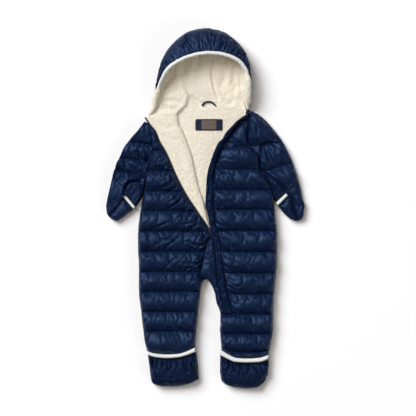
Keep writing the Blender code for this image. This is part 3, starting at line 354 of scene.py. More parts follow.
SLEEVE_LEFT_CREASES = (
    (((119, 87), (140, 71), (157, 60), (177, 40)), 9.5, 2.8),
    (((146, 145), (135, 143), (125, 138), (122, 127), (128, 108)), 8.5, 2.7),
    (((131, 128), (139, 116), (143, 103)), 4.5, 5.0),
    (((119, 113), (120, 100), (119, 87)), 4.5, 2.8),
    (((179, 43), (187, 54), (206, 58)), 2.2, 2.6),
    (((196, 14), (197, 3), (199, -9)), 2.6, 2.4),
    (((138, 93), (148, 83), (149, 73)), 1.8, 2.4),
    (((206, 21), (208, 5), (204, -10)), 1.2, 2.4),
)
COVER_CREASES = (
    (((14, -105), (16, -131), (19, -153)), 1.6, 1.6),
    (((12, -70), (20, -84), (30, -92)), 1.2, 2.0),
    (((24, 52), (12, 40), (4, 22)), 1.0, 2.4),
)
HOOD_CREASES = (
    (((-41, 380), (-41, 355)), 2.2, 1.8),
    (((-29, 362), (-27, 348)), 2.2, 1.8),
    (((-55, 355), (-53, 336)), 2.2, 1.8),
    (((1.5, 357), (-2, 348)), 2.0, 1.8),
    (((12, 374), (14, 348)), 2.2, 1.8),
    (((39, 362), (44, 346)), 2.2, 1.8),
    (((-90, 326), (-81, 309)), 2.2, 2.0),
)
LINING_CREASES = (
    (((15, 330), (14, 296), (19, 270), (29, 240)), 5.2, 2.8),
    (((-8, 224), (-20, 236), (-30, 246)), 3.2, 4.0),
    (((-68, 312), (-70, 293), (-80, 277), (-99, 262)), 5.0, 3.4),
    (((-14, 338), (-18, 310), (-12, 285)), 2.8, 6.0),
    (((-42, 332), (-46, 306), (-38, 284)), 2.6, 6.5),
    (((40, 332), (44, 300), (36, 268)), 3.0, 6.5),
    (((66, 316), (62, 288), (68, 258)), 3.2, 5.5),
    (((64, 240), (52, 229), (40, 236)), 2.2, 4.5),
    (((-52, 226), (-66, 236), (-90, 238)), 2.6, 5.0),
    (((-92, 226), (-80, 218), (-64, 216)), 2.0, 5.0),
)
FACING_CREASES = (
    (((-104, 190), (-84, 178), (-66, 182)), 1.4, 5.0),
    (((-60, 120), (-52, 100), (-44, 92)), 1.2, 5.0),
    (((-92, 160), (-74, 148), (-60, 150)), 1.0, 6.0),
)
# The edge of the opened front's fleece, which runs on up into the hood's lining: its x and how much
# higher the fleece lies on its outer side
LAPEL = table(
    "y x high",
    (196, -59.5, 7.6), (208, -58.5, 7.5), (218, -49, 7.0), (230, -38.5, 6.0), (245, -35, 5.0),
    (262, -41, 4.0), (285, -47, 3.2), (315, -50, 2.6), (345, -50, 2.0),
)


# Curves -----------------------------------------------------------------------------------------------


def smooth(knots, values, at):
    """A smooth curve through the values that never overshoots them, read at the given places."""
    order = np.argsort(knots)
    k = np.asarray(knots, dtype=float)[order]
    v = np.asarray(values, dtype=float)[order]
    step = np.diff(k)
    slope = np.diff(v) / step
    tangent = np.zeros(len(k))
    tangent[0] = slope[0]
    tangent[-1] = slope[-1]
    same_way = slope[:-1] * slope[1:] > 0
    weight_a = 2 * step[1:] + step[:-1]
    weight_b = step[1:] + 2 * step[:-1]
    safe_a = np.where(same_way, slope[:-1], 1.0)
    safe_b = np.where(same_way, slope[1:], 1.0)
    mean = (weight_a + weight_b) / (weight_a / safe_a + weight_b / safe_b)
    tangent[1:-1] = np.where(same_way, mean, 0.0)
    x = np.clip(np.asarray(at, dtype=float), k[0], k[-1])
    i = np.clip(np.searchsorted(k, x, side="right") - 1, 0, len(k) - 2)
    h = step[i]
    t = (x - k[i]) / h
    start = (1 + 2 * t) * (1 - t) ** 2 * v[i] + t * (1 - t) ** 2 * h * tangent[i]
    end = t * t * (3 - 2 * t) * v[i + 1] + t * t * (t - 1) * h * tangent[i + 1]
    return start + end


def across(curve, y):
    """The x of a seam or edge at the heights y."""
    return smooth(curve["y"], curve["x"], y)


def joined(upper, lower, y):
    """The x of an edge that changes from one curve to the next where the lower one starts."""
    return np.where(y > lower["y"].max(), across(upper, y), across(lower, y))


def bend_to(grid, line, rows):
    """Shears a grid's rows beyond rows[1], so that the row at rows[0] follows a curved line."""
    nominal, since = rows
    share = np.clip((grid[..., 1] - since) / (nominal - since), 0, None)
    grid[..., 1] += share * (smooth(line["x"], line["y"], grid[..., 0]) - nominal)


def dense_rows(stitches, start, end, spacing=GRID):
    """Rows from start to end, about `spacing` apart with one on every stitch line, and how full the
    down is at each: sin(pi t)^ARCH for the share t of the way between two stitch lines. Towards an end
    that isn't one, it stays above END_FULLNESS times the square of the share of the way to that end."""
    stitches = [s for s in stitches if min(start, end) <= s <= max(start, end)]
    lines = sorted({start, end, *stitches})
    if start > end:
        lines.reverse()
    rows, fullness = [], []
    for here, there in zip(lines, lines[1:]):
        count = max(2, round(abs(there - here) / spacing))
        t = np.arange(count) / count
        open_start = 0.0 if here in stitches else END_FULLNESS
        open_end = 0.0 if there in stitches else END_FULLNESS
        arch = np.sin(np.pi * t) ** ARCH
        rows.append(here + (there - here) * t)
        fullness.append(np.maximum(arch, np.maximum(open_start * (1 - t) ** 2, open_end * t**2)))
    rows.append([lines[-1]])
    fullness.append([0.0 if lines[-1] in stitches else END_FULLNESS])
    return np.concatenate(rows), np.concatenate(fullness)


def shares(length, spacing=GRID):
    """Shares from 0 to 1, about `spacing` apart along a length."""
    return np.linspace(0, 1, max(3, round(length / spacing) + 1))


def unit(vectors):
    """The same directions at length 1."""
    return vectors / np.maximum(np.linalg.norm(vectors, axis=-1, keepdims=True), 1e-6)


def to_left(ways):
    """Each direction (x, y) turned a quarter to the left."""
    return np.stack([-ways[:, 1], ways[:, 0]], axis=1)


def travelled(line):
    """How far along a line of points each of them lies."""
    return np.concatenate([[0], np.cumsum(np.linalg.norm(np.diff(line, axis=0), axis=1))])


def cloth_map(along, over):
    """Millimetres along and across a band of cloth for each point of its grid."""
    return np.stack(np.meshgrid(along, over, indexing="ij"), axis=-1).reshape(-1, 2)


# What scatters the noise: steps of its phase for each cell along x, y and z and for each seed, and how
# much its sine is magnified before all but its fraction is dropped
CELL_STEPS = np.array([127.1, 311.7, 74.7])
SEED_STEP = 37.3
MAGNIFIED = 43758.5453


def noise(p, size, seed):
    """Value noise from -1 to 1: random heights at the corners of cubes `size` wide, blended by
    3 t^2 - 2 t^3. A height is the fraction of a magnified sine of the corner's phase."""
    q = np.asarray(p, dtype=float) / size
    cell = np.floor(q)
    t = q - cell
    t = t * t * (3 - 2 * t)
    total = np.zeros(q.shape[:-1])
    for corner in np.ndindex(*(2,) * q.shape[-1]):
        at = cell + corner
        phase = at @ CELL_STEPS[: q.shape[-1]] + SEED_STEP * seed
        height = np.sin(phase) * MAGNIFIED
        height = 2 * (height - np.floor(height)) - 1
        weight = np.prod(np.where(np.array(corner) == 1, t, 1 - t), axis=-1)
        total += weight * height
    return total


# Grids: arrays of x, y and the fullness of the down ---------------------------------------------------

# Over how many millimetres from its lower end an armhole draws a sleeve's edge to itself
ARMHOLE_BLEND = 12
# How near to a seam's line a point of an outline is to lie on that seam
ON_SEAM = 3.0
# A distance that stands for no edge at all, and how many distances are worked out at a time
FAR = 1e3
BATCH = 2_000_000


def patch(left, right, y, fullness, columns):
    """Rows at the heights y: x = left + (right - left) u for the shares u across."""
    u = np.asarray(columns)[None, :]
    x = left[:, None] + (right - left)[:, None] * u
    yy = np.repeat(y[:, None], u.shape[1], axis=1)
    full = np.repeat(np.asarray(fullness)[:, None], u.shape[1], axis=1)
    return np.stack([x, yy, full], axis=-1)


def ladder(stations, at, fullness, columns, names=("ax", "ay", "bx", "by"), armhole=None):
    """Rows at the stations `at`: a + (b - a) u from point a to point b, which follows an armhole."""
    ax, ay, bx, by = (smooth(stations["s"], stations[n], at)[:, None] for n in names)
    if armhole is not None:
        side = np.sign(ax.mean())
        clear = side * across(armhole, by) + HAIR
        beside = np.clip((by - armhole["y"].min()) / ARMHOLE_BLEND, 0, 1)
        bx = side * (beside * clear + (1 - beside) * np.maximum(side * bx, clear))
    u = np.asarray(columns)[None, :]
    full = np.repeat(np.asarray(fullness)[:, None], u.shape[1], axis=1)
    return np.stack([ax + (bx - ax) * u, ay + (by - ay) * u, full], axis=-1)


def grid_faces(rows, cols, first=0):
    """Quads of a grid whose points are numbered row by row."""
    n = first + np.arange(rows * cols).reshape(rows, cols)
    return np.stack([n[:-1, :-1], n[:-1, 1:], n[1:, 1:], n[1:, :-1]], -1).reshape(-1, 4)


def weld(patches):
    """One list of points and quads from patches that share some of their points."""
    starts = np.cumsum([0] + [p.shape[0] * p.shape[1] for p in patches])
    faces = np.concatenate([grid_faces(*p.shape[:2], s) for p, s in zip(patches, starts)])
    points = np.concatenate([p.reshape(-1, 3) for p in patches])
    places = np.round(points[:, :2], 2)
    _, first, inverse = np.unique(places, axis=0, return_index=True, return_inverse=True)
    return points[first], inverse.reshape(-1)[faces]


def outline(points, faces):
    """The quads turned counter-clockwise, and their boundary as one loop of point numbers."""
    corners = points[faces][..., :2]
    after = np.roll(corners, -1, axis=1)
    turn = (corners[..., 0] * after[..., 1] - after[..., 0] * corners[..., 1]).sum(axis=1)
    faces = np.where((turn < 0)[:, None], faces[:, ::-1], faces)
    start = faces.reshape(-1)
    end = np.roll(faces, -1, axis=1).reshape(-1)
    real = start != end
    start, end = start[real], end[real]
    alone = ~np.isin(start * len(points) + end, end * len(points) + start)
    follow = dict(zip(start[alone].tolist(), end[alone].tolist()))
    loop = [min(follow)]
    while follow[loop[-1]] != loop[0] and len(loop) < len(follow):
        loop.append(follow[loop[-1]])
    return faces, np.array(loop)


def distance_to(points, line, closed=True, only=None):
    """How far each (x, y) is from a line of points, or from those of its stretches that count."""
    a = line[:, :2]
    b = np.roll(a, -1, axis=0)
    if not closed:
        a, b = a[:-1], b[:-1]
    if only is not None:
        a, b = a[only], b[only]
    if len(a) == 0:
        return np.full(len(points), FAR)
    along = b - a
    length = np.maximum((along**2).sum(-1), 1e-9)
    found = []
    for some in np.array_split(points[:, :2], max(1, len(points) * len(a) // BATCH)):
        p = some[:, None, :]
        t = np.clip(((p - a) * along).sum(-1) / length, 0, 1)
        found.append(np.linalg.norm(p - a - along * t[..., None], axis=-1).min(axis=1))
    return np.concatenate(found)


def laid_out(patches):
    """The points and quads of welded patches, their outline, and how far each point is from it."""
    flat, faces = weld(patches)
    faces, loop = outline(flat, faces)
    return flat, faces, loop, distance_to(flat, flat[loop])


def edge_distances(flat, loop, sewn):
    """How far each point is from a panel's free edges, and from those that a seam joins to a
    neighbour."""
    rim = flat[loop]
    if not sewn:
        return distance_to(flat, rim), np.full(len(flat), FAR)
    near = np.min([distance_to(rim, line, closed=False) for line in sewn], axis=0) < ON_SEAM
    joins = near & np.roll(near, -1)
    return distance_to(flat, rim, only=~joins), distance_to(flat, rim, only=joins)


def curve_line(curve):
    """A seam's own points as a line."""
    return np.column_stack([curve["x"], curve["y"]])


def rounded(d, radius):
    """sqrt(1 - (1 - d/r)^2): 0 at an edge, 1 further in than the radius."""
    return np.sqrt(1 - (1 - np.clip(d / radius, 0, 1)) ** 2)


def eased(t):
    """3 t^2 - 2 t^3 from 0 to 1."""
    t = np.clip(t, 0, 1)
    return t * t * (3 - 2 * t)


def inset(points, loop, amount):
    """The outline moved in by an amount, along the normals of its corners."""
    p = points[loop][:, :2]
    before = unit(p - np.roll(p, 1, axis=0))
    after = unit(np.roll(p, -1, axis=0) - p)
    way = unit(before + after)
    cosine = np.clip((way * after).sum(axis=1), 0.6, 1)
    return p + to_left(way) * (np.asarray(amount) / cosine)[:, None]


# Points worked out along a crease for each of its own, how far out it is felt in half-widths, and the
# height of the ridge that it throws up beside itself
CREASE_POINTS = 12
CREASE_REACH = 4
CREASE_RIDGE = 0.25


def crease_relief(p, creases):
    """Depth of soft troughs along lines: deep (exp(-(d/w)^2) - 0.25 exp(-((d - 2w)/w)^2)) at the
    distance d from a line of half-width w, deepest at its middle and faded out at its ends."""
    relief = np.zeros(len(p))
    for line, deep, half in creases:
        line = np.array(line, dtype=float)
        t = np.linspace(0, len(line) - 1, CREASE_POINTS * len(line))
        knots = np.arange(len(line))
        path = np.stack([smooth(knots, line[:, 0], t), smooth(knots, line[:, 1], t)], axis=1)
        strength = np.sqrt(np.sin(np.pi * np.linspace(0.06, 0.94, len(t))))
        low = path.min(axis=0) - CREASE_REACH * half
        high = path.max(axis=0) + CREASE_REACH * half
        near = np.flatnonzero(((p[:, :2] > low) & (p[:, :2] < high)).all(axis=1))
        if len(near) == 0:
            continue
        away = np.linalg.norm(p[near, None, :2] - path[None], axis=-1)
        closest = away.argmin(axis=1)
        d = away[np.arange(len(near)), closest] / half
        depth = np.exp(-(d**2)) - CREASE_RIDGE * np.exp(-((d - 2) ** 2))
        relief[near] += deep * strength[closest] * depth
    return relief


# Down: what the cloth simulation does -----------------------------------------------------------------

# Frames of simulation, metres of it for each millimetre, and rounds of smoothing after it
FRAMES = 22
SIM_SCALE = 0.01
SMOOTHINGS = 3


def neighbours_mean(points, faces):
    """The mean of each point's neighbours along the quads' sides."""
    a = faces.reshape(-1)
    b = np.roll(faces, -1, axis=1).reshape(-1)
    total = np.zeros_like(points)
    count = np.zeros(len(points))
    for here, there in ((a, b), (b, a)):
        count += np.bincount(here, minlength=len(points))
        for k in range(points.shape[1]):
            total[:, k] += np.bincount(here, weights=points[there, k], minlength=len(points))
    return total / np.maximum(count, 1)[:, None]


def puff_out(points, faces, held, pressure=2.0, growth=0.09, cap=6.0):
    """A panel's points after its cloth, held at seams and stitch lines and a little too large for
    them, is blown out by down for some frames. No point moves further than `cap`. The moves are then
    smoothed: m = (m + mean of the neighbours' m) / 2."""
    mesh = bpy.data.meshes.new("panel")
    mesh.from_pydata((points * SIM_SCALE).tolist(), [], faces.tolist())
    panel = bpy.data.objects.new("panel", mesh)
    bpy.context.collection.objects.link(panel)
    group = panel.vertex_groups.new(name="held")
    group.add(np.flatnonzero(held).tolist(), 1.0, "REPLACE")
    cloth = panel.modifiers.new("down", "CLOTH")
    settings = cloth.settings
    settings.quality = 6
    settings.mass = 0.01
    settings.tension_stiffness = 15
    settings.compression_stiffness = 15
    settings.shear_stiffness = 5
    settings.bending_stiffness = 0.25
    settings.air_damping = 1.0
    settings.tension_damping = 5
    settings.compression_damping = 5
    settings.shear_damping = 5
    settings.bending_damping = 0.5
    settings.vertex_group_mass = "held"
    settings.use_pressure = True
    settings.uniform_pressure_force = pressure
    settings.shrink_min = -growth
    settings.effector_weights.gravity = 0
    cloth.collision_settings.use_collision = False
    cloth.collision_settings.use_self_collision = False
    cloth.point_cache.frame_start = 1
    cloth.point_cache.frame_end = FRAMES
    for step in range(1, FRAMES + 1):
        bpy.context.scene.frame_set(step)
    shaped = panel.evaluated_get(bpy.context.evaluated_depsgraph_get()).to_mesh()
    moved = np.zeros(len(points) * 3)
    shaped.vertices.foreach_get("co", moved)
    moved = moved.reshape(-1, 3) / SIM_SCALE
    bpy.data.objects.remove(panel, do_unlink=True)
    bpy.data.meshes.remove(mesh)
    bpy.context.scene.frame_set(1)
    move = np.nan_to_num(moved - points)
    length = np.linalg.norm(move, axis=1, keepdims=True)
    move *= np.minimum(1, cap / np.maximum(length, 1e-9))
    for _ in range(SMOOTHINGS):
        mean = neighbours_mean(move, faces)
        move = np.where(held[:, None], move, 0.5 * move + 0.5 * mean)
    return points + move


# Meshes and objects -----------------------------------------------------------------------------------

# An edge between faces that turn by more than this many degrees is drawn sharp
SHARP = 62


def piece(name, points, faces, look, node, flow=None):
    """A named object from points in millimetres, moved so that the suit's box is centred. Its map
    "cloth" holds `flow`, in millimetres along the cloth, and otherwise x and y."""
    mesh = bpy.data.meshes.new(name)
    moved = (np.asarray(points, dtype=float) - (*CENTRE, 0.0)) * MM
    listed = [f.tolist() if isinstance(f, np.ndarray) else f for f in faces]
    mesh.from_pydata(moved.tolist(), [], listed)
    flow = points[:, :2] if flow is None else flow
    corner = np.empty(len(mesh.loops), dtype=np.int32)
    mesh.loops.foreach_get("vertex_index", corner)
    layer = mesh.uv_layers.new(name="cloth")
    layer.data.foreach_set("uv", (np.asarray(flow)[corner] * MM).astype(np.float32).ravel())
    mesh.materials.append(look)
    mesh.shade_smooth()
    mesh.set_sharp_from_angle(angle=np.radians(SHARP))
    made = bpy.data.objects.new(name, mesh)
    bpy.context.collection.objects.link(made)
    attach(made, "root")
    if node:
        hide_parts(node)
    return made


def closed_sheet(points, faces, loop, skirt):
    """A top surface closed below: rings of (height, inset) under its outline and a flat underside.
    An inset may be one number for each point of the outline."""
    all_points = [points]
    all_faces = list(faces)
    last = loop
    start = len(points)
    for z, amount in skirt:
        ring = inset(points, loop, amount * np.ones(len(loop)))
        all_points.append(np.column_stack([ring, np.full(len(ring), float(z))]))
        new = start + np.arange(len(loop))
        start += len(loop)
        quads = np.stack([np.roll(last, -1), last, new, np.roll(new, -1)], axis=1)
        all_faces += list(quads)
        last = new
    all_faces.append(last[::-1])
    return np.concatenate(all_points), all_faces


def closed_wall(outer, inner):
    """Points and faces of a closed wall between two grids, the inner one behind the outer."""
    rows, cols, _ = outer.shape
    front = grid_faces(rows, cols)
    back = grid_faces(rows, cols, rows * cols)[:, ::-1]
    n = np.arange(rows * cols).reshape(rows, cols)
    rim = np.concatenate([n[0, :-1], n[:-1, -1], n[-1, :0:-1], n[:0:-1, 0]])
    under = rim + rows * cols
    side = np.stack([np.roll(rim, -1), rim, under, np.roll(under, -1)], axis=1)
    faces = np.concatenate([front, back, side])
    return np.concatenate([outer.reshape(-1, 3), inner.reshape(-1, 3)]), faces


def closed_tube(rings, start=0):
    """Points and faces of a closed tube through rings of points, with flat ends."""
    count, sides, _ = rings.shape
    n = start + np.arange(count * sides).reshape(count, sides)
    across_ring = np.roll(n, -1, axis=1)
    quads = np.stack([n[:-1], across_ring[:-1], across_ring[1:], n[1:]], axis=-1).reshape(-1, 4)
    return rings.reshape(-1, 3), [*quads, n[0, ::-1], n[-1]]


def turned_out(made):
    """Turns all faces of a closed mesh outward."""
    body = bmesh.new()
    body.from_mesh(made.data)
    bmesh.ops.recalc_face_normals(body, faces=body.faces)
    body.to_mesh(made.data)
    body.free()
    return made


def quilt_height(full, free, seam, stitch, puff, radius):
    """EDGE + (stitch - EDGE) r(d) + puff f r(0.6 d) (0.45 + 0.55 r(d)) q(s) - dip (1 - q(s)) for the
    fullness f, the distance d from a free edge and the distance s from a seam, where r is the round
    shoulder of the given radius and q the shorter one of a seam."""
    crown = rounded(free, radius)
    beside = rounded(seam, SEAM_ROUND)
    lift = EDGE + (stitch - EDGE) * crown - SEAM_DIP * (1 - beside)
    down = puff * full * rounded(free, radius * 0.6) * (SEAM_DOWN + (1 - SEAM_DOWN) * crown)
    return lift + down * beside


def unevenness(p, seed):
    """How much fuller or slacker the down is from place to place: 1 and noise 34 and 15 mm wide, drawn
    out a little across the suit."""
    flat = np.column_stack([p[:, 0] * 0.7, p[:, 1]])
    return 1 + 0.20 * noise(flat, 34.0, seed) + 0.16 * noise(flat, 15.0, seed + 5)


def puckers(p, full, seed):
    """Small gathers that a stitch line draws into the cloth beside it: ridged noise 4.5 and 9 mm wide,
    three times as long up the suit as across it and swayed from place to place, times (1 - f)^1.3 for
    the fullness f."""
    sway = 9.0 * noise(p[:, :2], 40.0, seed + 4)
    lean = p[:, 0] + 0.35 * p[:, 1] + sway
    fine = noise(np.column_stack([lean, p[:, 1] / 3]), 4.5, seed)
    broad = noise(np.column_stack([lean, p[:, 1] / 3]), 9.0, seed + 9)
    return (0.85 * np.abs(fine) + 0.45 * np.abs(broad) - 0.4) * np.clip(1 - full, 0, 1) ** 1.3


def seam_puckers(p, seam, seed):
    """Gathers across a seam: noise of 6 and 10 mm along the suit, three times as long across it, times
    exp(-(s/9)^2) for the distance s from the seam."""
    lean = p[:, 1] + 0.45 * p[:, 0]
    fine = noise(np.column_stack([p[:, 0] / 3, lean]), 6.0, seed)
    broad = noise(np.column_stack([p[:, 0] / 3, lean]), 10.0, seed + 3)
    return (0.9 * np.abs(fine) + 0.9 * np.abs(broad) - 0.6) * np.exp(-((seam / 9.0) ** 2))


def fan(starts, towards, reach, deep, seed):
    """Creases that run from their starts (x, y) into the cloth at about the angle `towards`. Each is a
    little bent and has a length, width and depth of its own, up to `reach` and `deep`."""
    rng = np.random.default_rng(seed)
    made = []
    for start in starts:
        angle = towards + rng.uniform(-0.4, 0.4)
        length = reach * rng.uniform(0.35, 1.0)
        way = np.array([np.cos(angle), np.sin(angle)])
        bent = way + rng.uniform(-0.4, 0.4) * np.array([-way[1], way[0]])
        line = (start, start + 0.5 * length * way, start + length * bent)
        made.append((line, deep * rng.uniform(0.4, 1.0), rng.uniform(1.8, 2.7)))
    return tuple(made)


def down_edge(edge, first, last, step):
    """Starts for a fan on a seam or edge, about a step apart down from the first height to the last."""
    y = np.arange(first, last, -step)
    y = y + 0.5 * step * np.sin(2.3 * np.arange(len(y)) ** 1.5)
    return np.column_stack([across(edge, y), y])


def strewn(flat, count, towards, seed):
    """Short creases all over a panel, every fourth of them across the others."""
    starts = flat[np.random.default_rng(seed).choice(len(flat), count, replace=False), :2]
    others = count // 4
    with_them = fan(starts[others:], towards, reach=34.0, deep=1.8, seed=seed + 1)
    across_them = fan(starts[:others], towards + 1.3, reach=22.0, deep=1.4, seed=seed + 2)
    return with_them + across_them


# The creases of loose taffeta: direction in radians, width in millimetres and share of each family, how
# far they sway, how many times as long as wide they are, and their mean height
CRUMPLE = (
    (0.75, 22.0, 0.55),
    (-0.65, 15.0, 0.42),
    (0.95, 11.0, 0.34),
    (0.10, 8.5, 0.28),
    (-1.1, 8.0, 0.16),
)
CRUMPLE_SWAY = 4.0
CRUMPLE_LONG = 4.5
CRUMPLE_MEAN = 0.55


def crumple(p, seed):
    """Loose creases of light taffeta over down: the sum over families of w (1 - |n|)^2 less its mean,
    where n is noise drawn out along the family's direction and swayed by noise 26 mm wide."""
    flat = p[:, :2]
    sway = np.column_stack([noise(flat, 26.0, seed + 1), noise(flat, 26.0, seed + 2)])
    q = flat + CRUMPLE_SWAY * sway
    total = np.zeros(len(p))
    for k, (turn, size, share) in enumerate(CRUMPLE):
        over = np.cos(turn) * q[:, 0] + np.sin(turn) * q[:, 1]
        along = np.cos(turn) * q[:, 1] - np.sin(turn) * q[:, 0]
        n = noise(np.column_stack([over, along / CRUMPLE_LONG]), size, seed + 11 * k)
        total += share * (1 - np.abs(n)) ** 2
    return total - CRUMPLE_MEAN


# Shares of the stitch lines' puckers, the crumple and the seams' puckers in a panel
PUCKERED = 0.9
CRUMPLED = 1.25
SEAM_PUCKERED = 1.5
# A point with less down than this, or as near to an edge, is held by its stitching
STITCHED = 0.02
SEWN_ON = 0.01


def quilted_panel(name, patches, floor, quilt, seed, creases=(), depth=None, sewn=(), rough=1.0,
                  loose=None, look=None, short=(0, 0.0), billow=0.0, fade=10.0):
    """A padded piece: its grid raised by quilt_height, or by its own depth(points, height, edge), puffed
    out, creased and closed below. Its cloth is crumpled by `rough` and more where loose(points) says,
    and swells by up to `billow` from place to place. It has short[0] short creases at about the angle
    short[1], and its creases fade out over `fade` at its free edges."""
    stitch, puff, radius = quilt
    flat, faces = weld(patches)
    faces, loop = outline(flat, faces)
    full = flat[:, 2]
    free, seam = edge_distances(flat, loop, sewn)
    edge = np.minimum(free, seam)
    z = quilt_height(full * unevenness(flat, seed), free, seam, stitch, puff, radius)
    if depth is not None:
        z = depth(flat, z, edge)
    # A little noise between the stitch lines, from which the cloth buckles as it is puffed out
    uneven = 0.5 * noise(flat[:, :2], 6.0, seed + 2) * rounded(edge, 8.0) * (full > STITCHED)
    held = (full < STITCHED) | (edge < SEWN_ON)
    points = puff_out(np.column_stack([flat[:, :2], floor + (z + uneven)]), faces, held)
    # Creases fade out at the edges, and the crumple also towards the stitch lines
    calm = rounded(free, 5.0) * rounded(seam, 3.0)
    relief = crease_relief(points, creases)
    slack = rough * (1 + (0 if loose is None else loose(flat)))
    on_quilt = 0.35 + 0.65 * np.clip(full * 1.6, 0, 1)
    points[:, 2] += calm * PUCKERED * puckers(flat, full, seed + 20)
    points[:, 2] += calm * slack * on_quilt * CRUMPLED * crumple(flat, seed + 30)
    points[:, 2] += calm * billow * noise(flat[:, :2], 34.0, seed + 60)
    points[:, 2] += rounded(free, 5.0) * SEAM_PUCKERED * seam_puckers(flat, seam, seed + 40)
    points[:, 2] -= relief * rounded(free, fade) * rounded(seam, 2.5)
    if short[0]:
        points[:, 2] -= crease_relief(points, strewn(flat, *short, seed + 70)) * calm * on_quilt
    points[:, 2] = np.maximum(points[:, 2], floor + EDGE * 0.8)
    points[loop, :2] = flat[loop, :2]
    solid, solid_faces = closed_sheet(points, faces, loop, ((floor, 0.0),))
    made = piece(name, solid, solid_faces, look or NYLON, name.replace("_cloth", ""))


# Materials --------------------------------------------------------------------------------------------


def linear(code):
    """A colour from its sRGB hex code."""
    c = np.array([int(code[i : i + 2], 16) for i in (1, 3, 5)]) / 255
    return (*np.where(c <= 0.04045, c / 12.92, ((c + 0.055) / 1.055) ** 2.4), 1.0)


def feed(tree, node, inputs):
    """Gives each named input of a node a value or a link."""
    for socket, value in inputs.items():
        if isinstance(value, bpy.types.NodeSocket):
            tree.links.new(value, node.inputs[socket])
        else:
            node.inputs[socket].default_value = value


def add(tree, kind, inputs=None, **settings):
    """Adds a node with its settings, and gives each named input a value or a link."""
    node = tree.nodes.new(kind)
    for name, value in settings.items():
        setattr(node, name, value)
    feed(tree, node, inputs or {})
    return node


def blend(tree, share, dark, pale):
    """A colour between two others, by the share of the second."""
    mixed = add(tree, "ShaderNodeMix", {0: share, 6: linear(dark), 7: linear(pale)}, data_type="RGBA")
    return mixed.outputs[2]


def started(name):
    """A new material with its tree and its Principled shader."""
    look = bpy.data.materials.new(name)
    look.use_nodes = True
    return look, look.node_tree, look.node_tree.nodes["Principled BSDF"]


def nylon_taffeta(name, dark, pale, gloss_level):
    """Calendered nylon taffeta, so close that it holds down: navy with a soft silky gloss that breaks
    up in fine crinkles and a plain weave."""
    look, tree, shader = started(name)
    place = add(tree, "ShaderNodeTexCoord").outputs["Object"]
    # The cloth is rubbed a little paler from hand to hand, 40 mm wide
    rub = add(tree, "ShaderNodeTexNoise", {"Vector": place, "Scale": 25.0, "Detail": 3.0})
    # Sharp little creases of 11 and 7 mm that lean both ways, drawn as ridges
    ridges = []
    for lean, scale, distortion in ((0.65, 90.0, 0.6), (-0.9, 140.0, 0.5)):
        leaning = add(tree, "ShaderNodeMapping", {"Vector": place, "Rotation": (0, 0, lean),
                                                  "Scale": (1, 0.3, 1)})
        ridge = add(tree, "ShaderNodeTexNoise", {"Vector": leaning.outputs[0], "Scale": scale, "Detail": 2.0,
                                                 "Roughness": 0.5, "Distortion": distortion},
                    noise_type="RIDGED_MULTIFRACTAL")
        ridges.append(ridge.outputs["Fac"])
    creased = add(tree, "ShaderNodeMath", {0: ridges[0], 1: ridges[1]}, operation="ADD")
    creases = add(tree, "ShaderNodeBump", {"Height": creased.outputs[0], "Strength": 0.6, "Distance": 0.0009})
    # Crinkles of 4 mm, and threads drawn 2 mm apart, as real ones of 0.2 mm are too fine to show
    crinkle = add(tree, "ShaderNodeTexNoise", {"Vector": place, "Scale": 260.0, "Detail": 2.0,
                                               "Roughness": 0.6, "Distortion": 0.8})
    woven = add(tree, "ShaderNodeUVMap", uv_map="cloth").outputs["UV"]
    warp = add(tree, "ShaderNodeTexWave", {"Vector": woven, "Scale": 160.0}, bands_direction="X")
    weft = add(tree, "ShaderNodeTexWave", {"Vector": woven, "Scale": 160.0}, bands_direction="Y")
    threads = add(tree, "ShaderNodeMath", {0: warp.outputs["Fac"], 1: weft.outputs["Fac"]},
                  operation="MULTIPLY")
    weave = add(tree, "ShaderNodeBump", {"Height": threads.outputs[0], "Strength": 0.12, "Distance": 0.0001,
                                         "Normal": creases.outputs["Normal"]})
    bump = add(tree, "ShaderNodeBump", {"Height": crinkle.outputs["Fac"], "Strength": 0.25,
                                        "Distance": 0.0006, "Normal": weave.outputs["Normal"]})
    gloss = add(tree, "ShaderNodeMapRange", {"Value": crinkle.outputs["Fac"], "To Min": 0.41, "To Max": 0.53})
    feed(tree, shader, {
        "Base Color": blend(tree, rub.outputs["Fac"], dark, pale),
        "Roughness": gloss.outputs[0],
        "Normal": bump.outputs["Normal"],
        "IOR": 1.53,
        "Specular IOR Level": gloss_level,
        "Specular Tint": linear("#a4caff"),
        "Sheen Weight": 0.04,
        "Sheen Roughness": 0.4,
        "Sheen Tint": linear("#8fa6d8"),
    })
    return look


